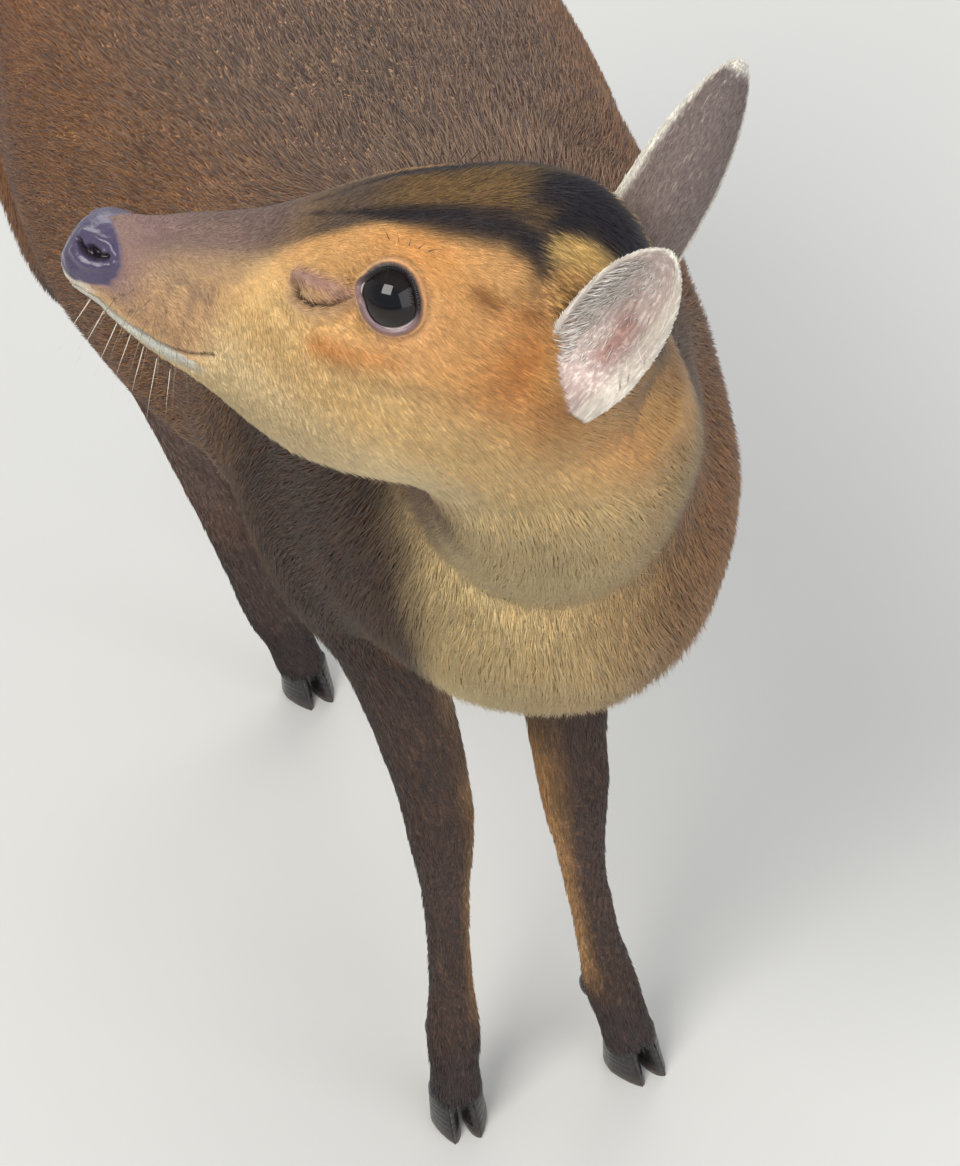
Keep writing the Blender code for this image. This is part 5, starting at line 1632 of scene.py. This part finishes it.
    # ears
    for word, side in (("left", 1), ("right", -1)):
        ear = ears[side]
        base_at, length, opening, across = ear_axes(side)
        v, u, inner = ear["info"].T
        back = (1 - inner) * ramp(0.06, 0.12, v)
        count = int(4200)
        corners, shares = scatter(rng, ear["points"], ear["faces"], back * 1.0 + 0.02 * inner * (v > 0.2), count)
        info = carried(ear["info"], corners, shares)
        p, n = carried(ear["points"], corners, shares), unit(carried(ear["normal"], corners, shares))
        got = {"p": p, "n": n, "grain": rng.random(count)}
        lie = length + across * (0.10 * info[:, 1])[:, None] + rng.normal(0, 0.10, (count, 3))
        lie -= n * (lie * n).sum(1, keepdims=True)
        got["lie"] = unit(lie)
        got["long"] = (0.0055 - 0.0022 * info[:, 0]) * (0.7 + 0.5 * rng.random(count))
        got["long"] *= 1 - 0.6 * np.maximum(ramp(0.75, 0.95, np.abs(info[:, 1])), ramp(0.88, 0.97, info[:, 0]))
        got["wide"] = 0.00055 * (0.7 + 0.6 * rng.random(count))
        got["rise"] = 0.0006 * (0.4 + 0.7 * rng.random(count))
        got["base"], got["tip"] = ear_markings(info * (1, side, 1), p, None)
        got["base"] = got["base"] * (0.75 + 0.3 * rng.random(count))[:, None]
        got["uv"] = np.stack([0.01 + 0.47 * (info[:, 1] * 0.5 + 0.5), info[:, 0]], 1)
        made += spikes(f"coat_ear_{word}", got, mat)
        # pale hair along the inner edges, swept across the hollow and to the tip
        count = int(460)
        front_edge = ramp(0.15, 0.7, -side * u)
        weight = inner * (0.02 + 1.2 * front_edge + 0.25 * hump(u * side, -0.1, 0.25)) * ramp(0.14, 0.22, v) * ramp(0.82, 0.68, v) * ramp(0.97, 0.88, np.abs(u))
        corners, shares = scatter(rng, ear["points"], ear["faces"], weight, count)
        info = carried(ear["info"], corners, shares)
        p, n = carried(ear["points"], corners, shares), unit(carried(ear["normal"], corners, shares))
        sweep = np.sign(info[:, 1]) * ramp(0.3, 0.9, np.abs(info[:, 1]))
        got = {"p": p, "n": n}
        lie = length * 0.9 - across * (0.75 * sweep * ramp(0.95, 0.5, info[:, 0]))[:, None] + rng.normal(0, 0.16, (count, 3))
        lie -= n * (lie * n).sum(1, keepdims=True)
        got["lie"] = unit(lie)
        edge_hair = ramp(0.4, 0.9, np.abs(info[:, 1]))
        got["long"] = (0.004 + 0.004 * edge_hair * ramp(1.0, 0.6, info[:, 0])) * (0.7 + 0.6 * rng.random(count))
        got["wide"] = 0.00045 * (0.7 + 0.6 * rng.random(count))
        got["rise"] = got["long"] * (0.06 + 0.14 * rng.random(count))
        got["bend"] = np.tile(-opening * 0.10, (count, 1))
        got["base"] = np.tile(srgb(196, 184, 176), (count, 1)) * (0.8 + 0.3 * rng.random(count))[:, None]
        got["tip"] = np.tile(srgb(238, 234, 226), (count, 1)) * (0.9 + 0.1 * rng.random(count))[:, None]
        got["uv"] = np.stack([0.52 + 0.47 * (info[:, 1] * 0.5 + 0.5), info[:, 0]], 1)
        made += locks(f"coat_ear_hair_{word}", got, mat)
    # tail
    count = int(5000)
    p0, f0, n0 = tail["points"], tail["faces"], tail["normal"]
    corners, shares = scatter(rng, p0, f0, np.ones(len(p0)), count)
    p, n = carried(p0, corners, shares), unit(carried(n0, corners, shares))
    run = np.stack([0.25 * n[:, 0], 0.10 + 0 * p[:, 0], -np.ones(count)], 1) + rng.normal(0, 0.10, (count, 3))
    lie = run - n * (run * n).sum(1, keepdims=True)
    v = np.clip((0.441 - p[:, 2]) / TAIL_LENGTH, 0, 1)
    got = {"p": p, "n": n, "lie": unit(lie), "grain": rng.random(count)}
    got["long"] = (0.020 - 0.006 * v) * (0.7 + 0.5 * rng.random(count))
    got["wide"] = 0.0010 * (0.7 + 0.6 * rng.random(count))
    got["rise"] = 0.0042 * (0.4 + 0.6 * rng.random(count))
    got["share"] = np.zeros((count, len(PARTS)))
    got["share"][:, 7] = 1.0
    coloured(got, 0.3)
    got["uv"] = round_place(p, (0, 0.440, 0.38), (0, 0, 1), (0, 1, 0), -0.07, 0.07)
    made += locks("coat_tail", got, mat)
    # whiskers and lashes
    p, lie, long, wide, base, bend = [], [], [], [], [], []

    def hair(at, way, size, thick, colour, droop):
        p.append(HEAD_AT + (np.array(at) / 1000) @ np.stack([NOSE, LEFT, UP]))
        way = np.asarray(way, float)
        lie.append(NOSE * way[0] + LEFT * way[1] + UP * way[2])
        long.append(size), wide.append(thick), base.append(colour), bend.append(droop)

    centre = np.array(EYE_PLACE) * 1000
    for side in (1, -1):
        for row, t0 in enumerate((-56.5, -52.5, -48.5)):
            for k in range(5):
                at = np.array((73.0 - 6.0 * k - 2.0 * row, side * (15.5 + 1.3 * k), t0 + 0.3 * k))
                way = (0.15 - 0.16 * k + 0.1 * rng.normal(), side * (0.85 + 0.1 * rng.normal()), -0.55 + 0.20 * row + 0.08 * rng.normal())
                hair(at, way, 0.016 + 0.012 * rng.random(), 0.00016, srgb(150, 134, 112), (0, 0, -0.14))
        for k in range(7):
            at = (80.0 - 5.5 * k, side * (6.0 + 1.1 * k), -66.8 - 0.8 * k)
            hair(at, (0.10 - 0.08 * k, side * 0.35, -0.9), 0.016 + 0.012 * rng.random(), 0.00018, srgb(214, 206, 190), (0.02, 0, -0.05))
        for k in range(5):
            at = (8.0 - 3.0 * k, side * (27.5 + 0.8 * k), 20.0 + 1.2 * k)
            hair(at, (0.5 - 0.2 * k, side * 0.6, 0.75), 0.010 + 0.006 * rng.random(), 0.00016, srgb(60, 50, 48), (0, 0, -0.12))
        for k in range(34):
            turn_at = math.radians(14 + 150 * k / 33)
            e = math.radians(float(lid_angle(np.array([turn_at]))[0]) - 0.3)
            d = math.cos(e) * EYE_AXIS + math.sin(e) * (math.cos(turn_at) * EYE_FORE + math.sin(turn_at) * EYE_UP)
            at = centre + d * 12.9
            out = unit(math.cos(turn_at) * EYE_FORE + math.sin(turn_at) * EYE_UP)
            way = EYE_AXIS * 0.85 + out * 0.40 + rng.normal(0, 0.10, 3)
            at[1] *= side
            way[1] *= side
            hair(at, way, 0.0042 + 0.0016 * rng.random(), 0.00026, srgb(30, 24, 24), (0, 0, 0.05))
    p, lie = np.array(p), unit(np.array(lie))
    n = np.cross(lie, np.tile((0.0, 0.0, 1.0), (len(p), 1)))
    n = unit(np.cross(n, lie))
    got = {"p": p, "n": n, "lie": lie, "long": np.array(long), "wide": np.array(wide), "rise": np.zeros(len(p)), "base": np.array(base), "tip": np.array(base) * 1.4, "bend": np.array(bend)}
    got["uv"] = round_place(p, on_head(0, 0, -0.012), NOSE, UP, -0.100, 0.105)
    made += locks("whiskers", got, mat, swell=0.7)
    return made


def set_stage():
    right = np.array((0.94561296, -0.3062493, -0.1096699))
    up = np.array((0.27275199, 0.56273696, 0.78034189))
    ahead = np.array((0.17726385, 0.76781409, -0.61566148))
    data = bpy.data.cameras.new("Camera")
    data.sensor_width = 36.0
    data.lens = 36.0 * 4050 / 1166
    data.clip_start, data.clip_end = 0.05, 50
    cam = bpy.data.objects.new("Camera", data)
    turn = Matrix([list(v) for v in (right, up, -ahead)]).transposed().to_4x4()
    cam.matrix_world = Matrix.Translation(Vector(np.array((-0.270, -1.170, 1.215)) + SHIFT)) @ turn
    bpy.context.scene.collection.objects.link(cam)
    bpy.context.scene.camera = cam

    mat = bpy.data.materials.new("floor")
    mat.use_nodes = True
    shader = mat.node_tree.nodes["Principled BSDF"]
    shader.inputs["Base Color"].default_value = (0.66, 0.66, 0.63, 1)
    shader.inputs["Roughness"].default_value = 0.9
    shader.inputs["Specular IOR Level"].default_value = 0.2
    mesh = bpy.data.meshes.new("floor")
    mesh.from_pydata([(-8, -8, 0), (8, -8, 0), (8, 8, 0), (-8, 8, 0)], [], [(0, 1, 2, 3)])
    floor = bpy.data.objects.new("floor", mesh)
    mesh.materials.append(mat)
    bpy.context.scene.collection.objects.link(floor)

    for name, at, size, power, tint in (
        ("key", (-1.3, -1.2, 2.4), 1.3, 54, (1.0, 0.97, 0.92)),
        ("fill", (0.9, -2.2, 1.0), 2.2, 30, (0.97, 0.98, 1.0)),
        ("back", (0.6, 2.2, 2.2), 1.8, 34, (1.0, 0.98, 0.95)),
    ):
        lamp = bpy.data.lights.new(name, "AREA")
        lamp.energy, lamp.size, lamp.color = power, size, tint
        obj = bpy.data.objects.new(name, lamp)
        obj.location = at
        obj.rotation_mode = "QUATERNION"
        obj.rotation_quaternion = (Vector((0, 0, 0.3)) - Vector(at)).to_track_quat("-Z", "Y")
        bpy.context.scene.collection.objects.link(obj)
    world = bpy.data.worlds.new("studio")
    world.use_nodes = True
    world.node_tree.nodes["Background"].inputs["Color"].default_value = (0.90, 0.93, 1.0, 1)
    world.node_tree.nodes["Background"].inputs["Strength"].default_value = 0.55
    bpy.context.scene.world = world
    bpy.context.scene.view_settings.view_transform = "Standard"


# ------------------------------------------------------------------ build
skin_mat, eye_mat, horn_mat = skin_material(), eye_material(), horn_material()
skin, body, ears, tail = make_skin(skin_mat)
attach(skin, "root")
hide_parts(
    "trunk", "neck", "head", "tail", "ear_left", "ear_right",
    "leg_front_right", "leg_front_left", "leg_hind_right", "leg_hind_left",
)
for word, side in (("left", 1), ("right", -1)):
    ball = eye_ball("eyeball_" + word, side, eye_mat)
    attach(ball, "root")
    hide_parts("eye_" + word)
make_feet(horn_mat)
coat = grow_coat(body, ears, tail, hair_material())
set_stage()
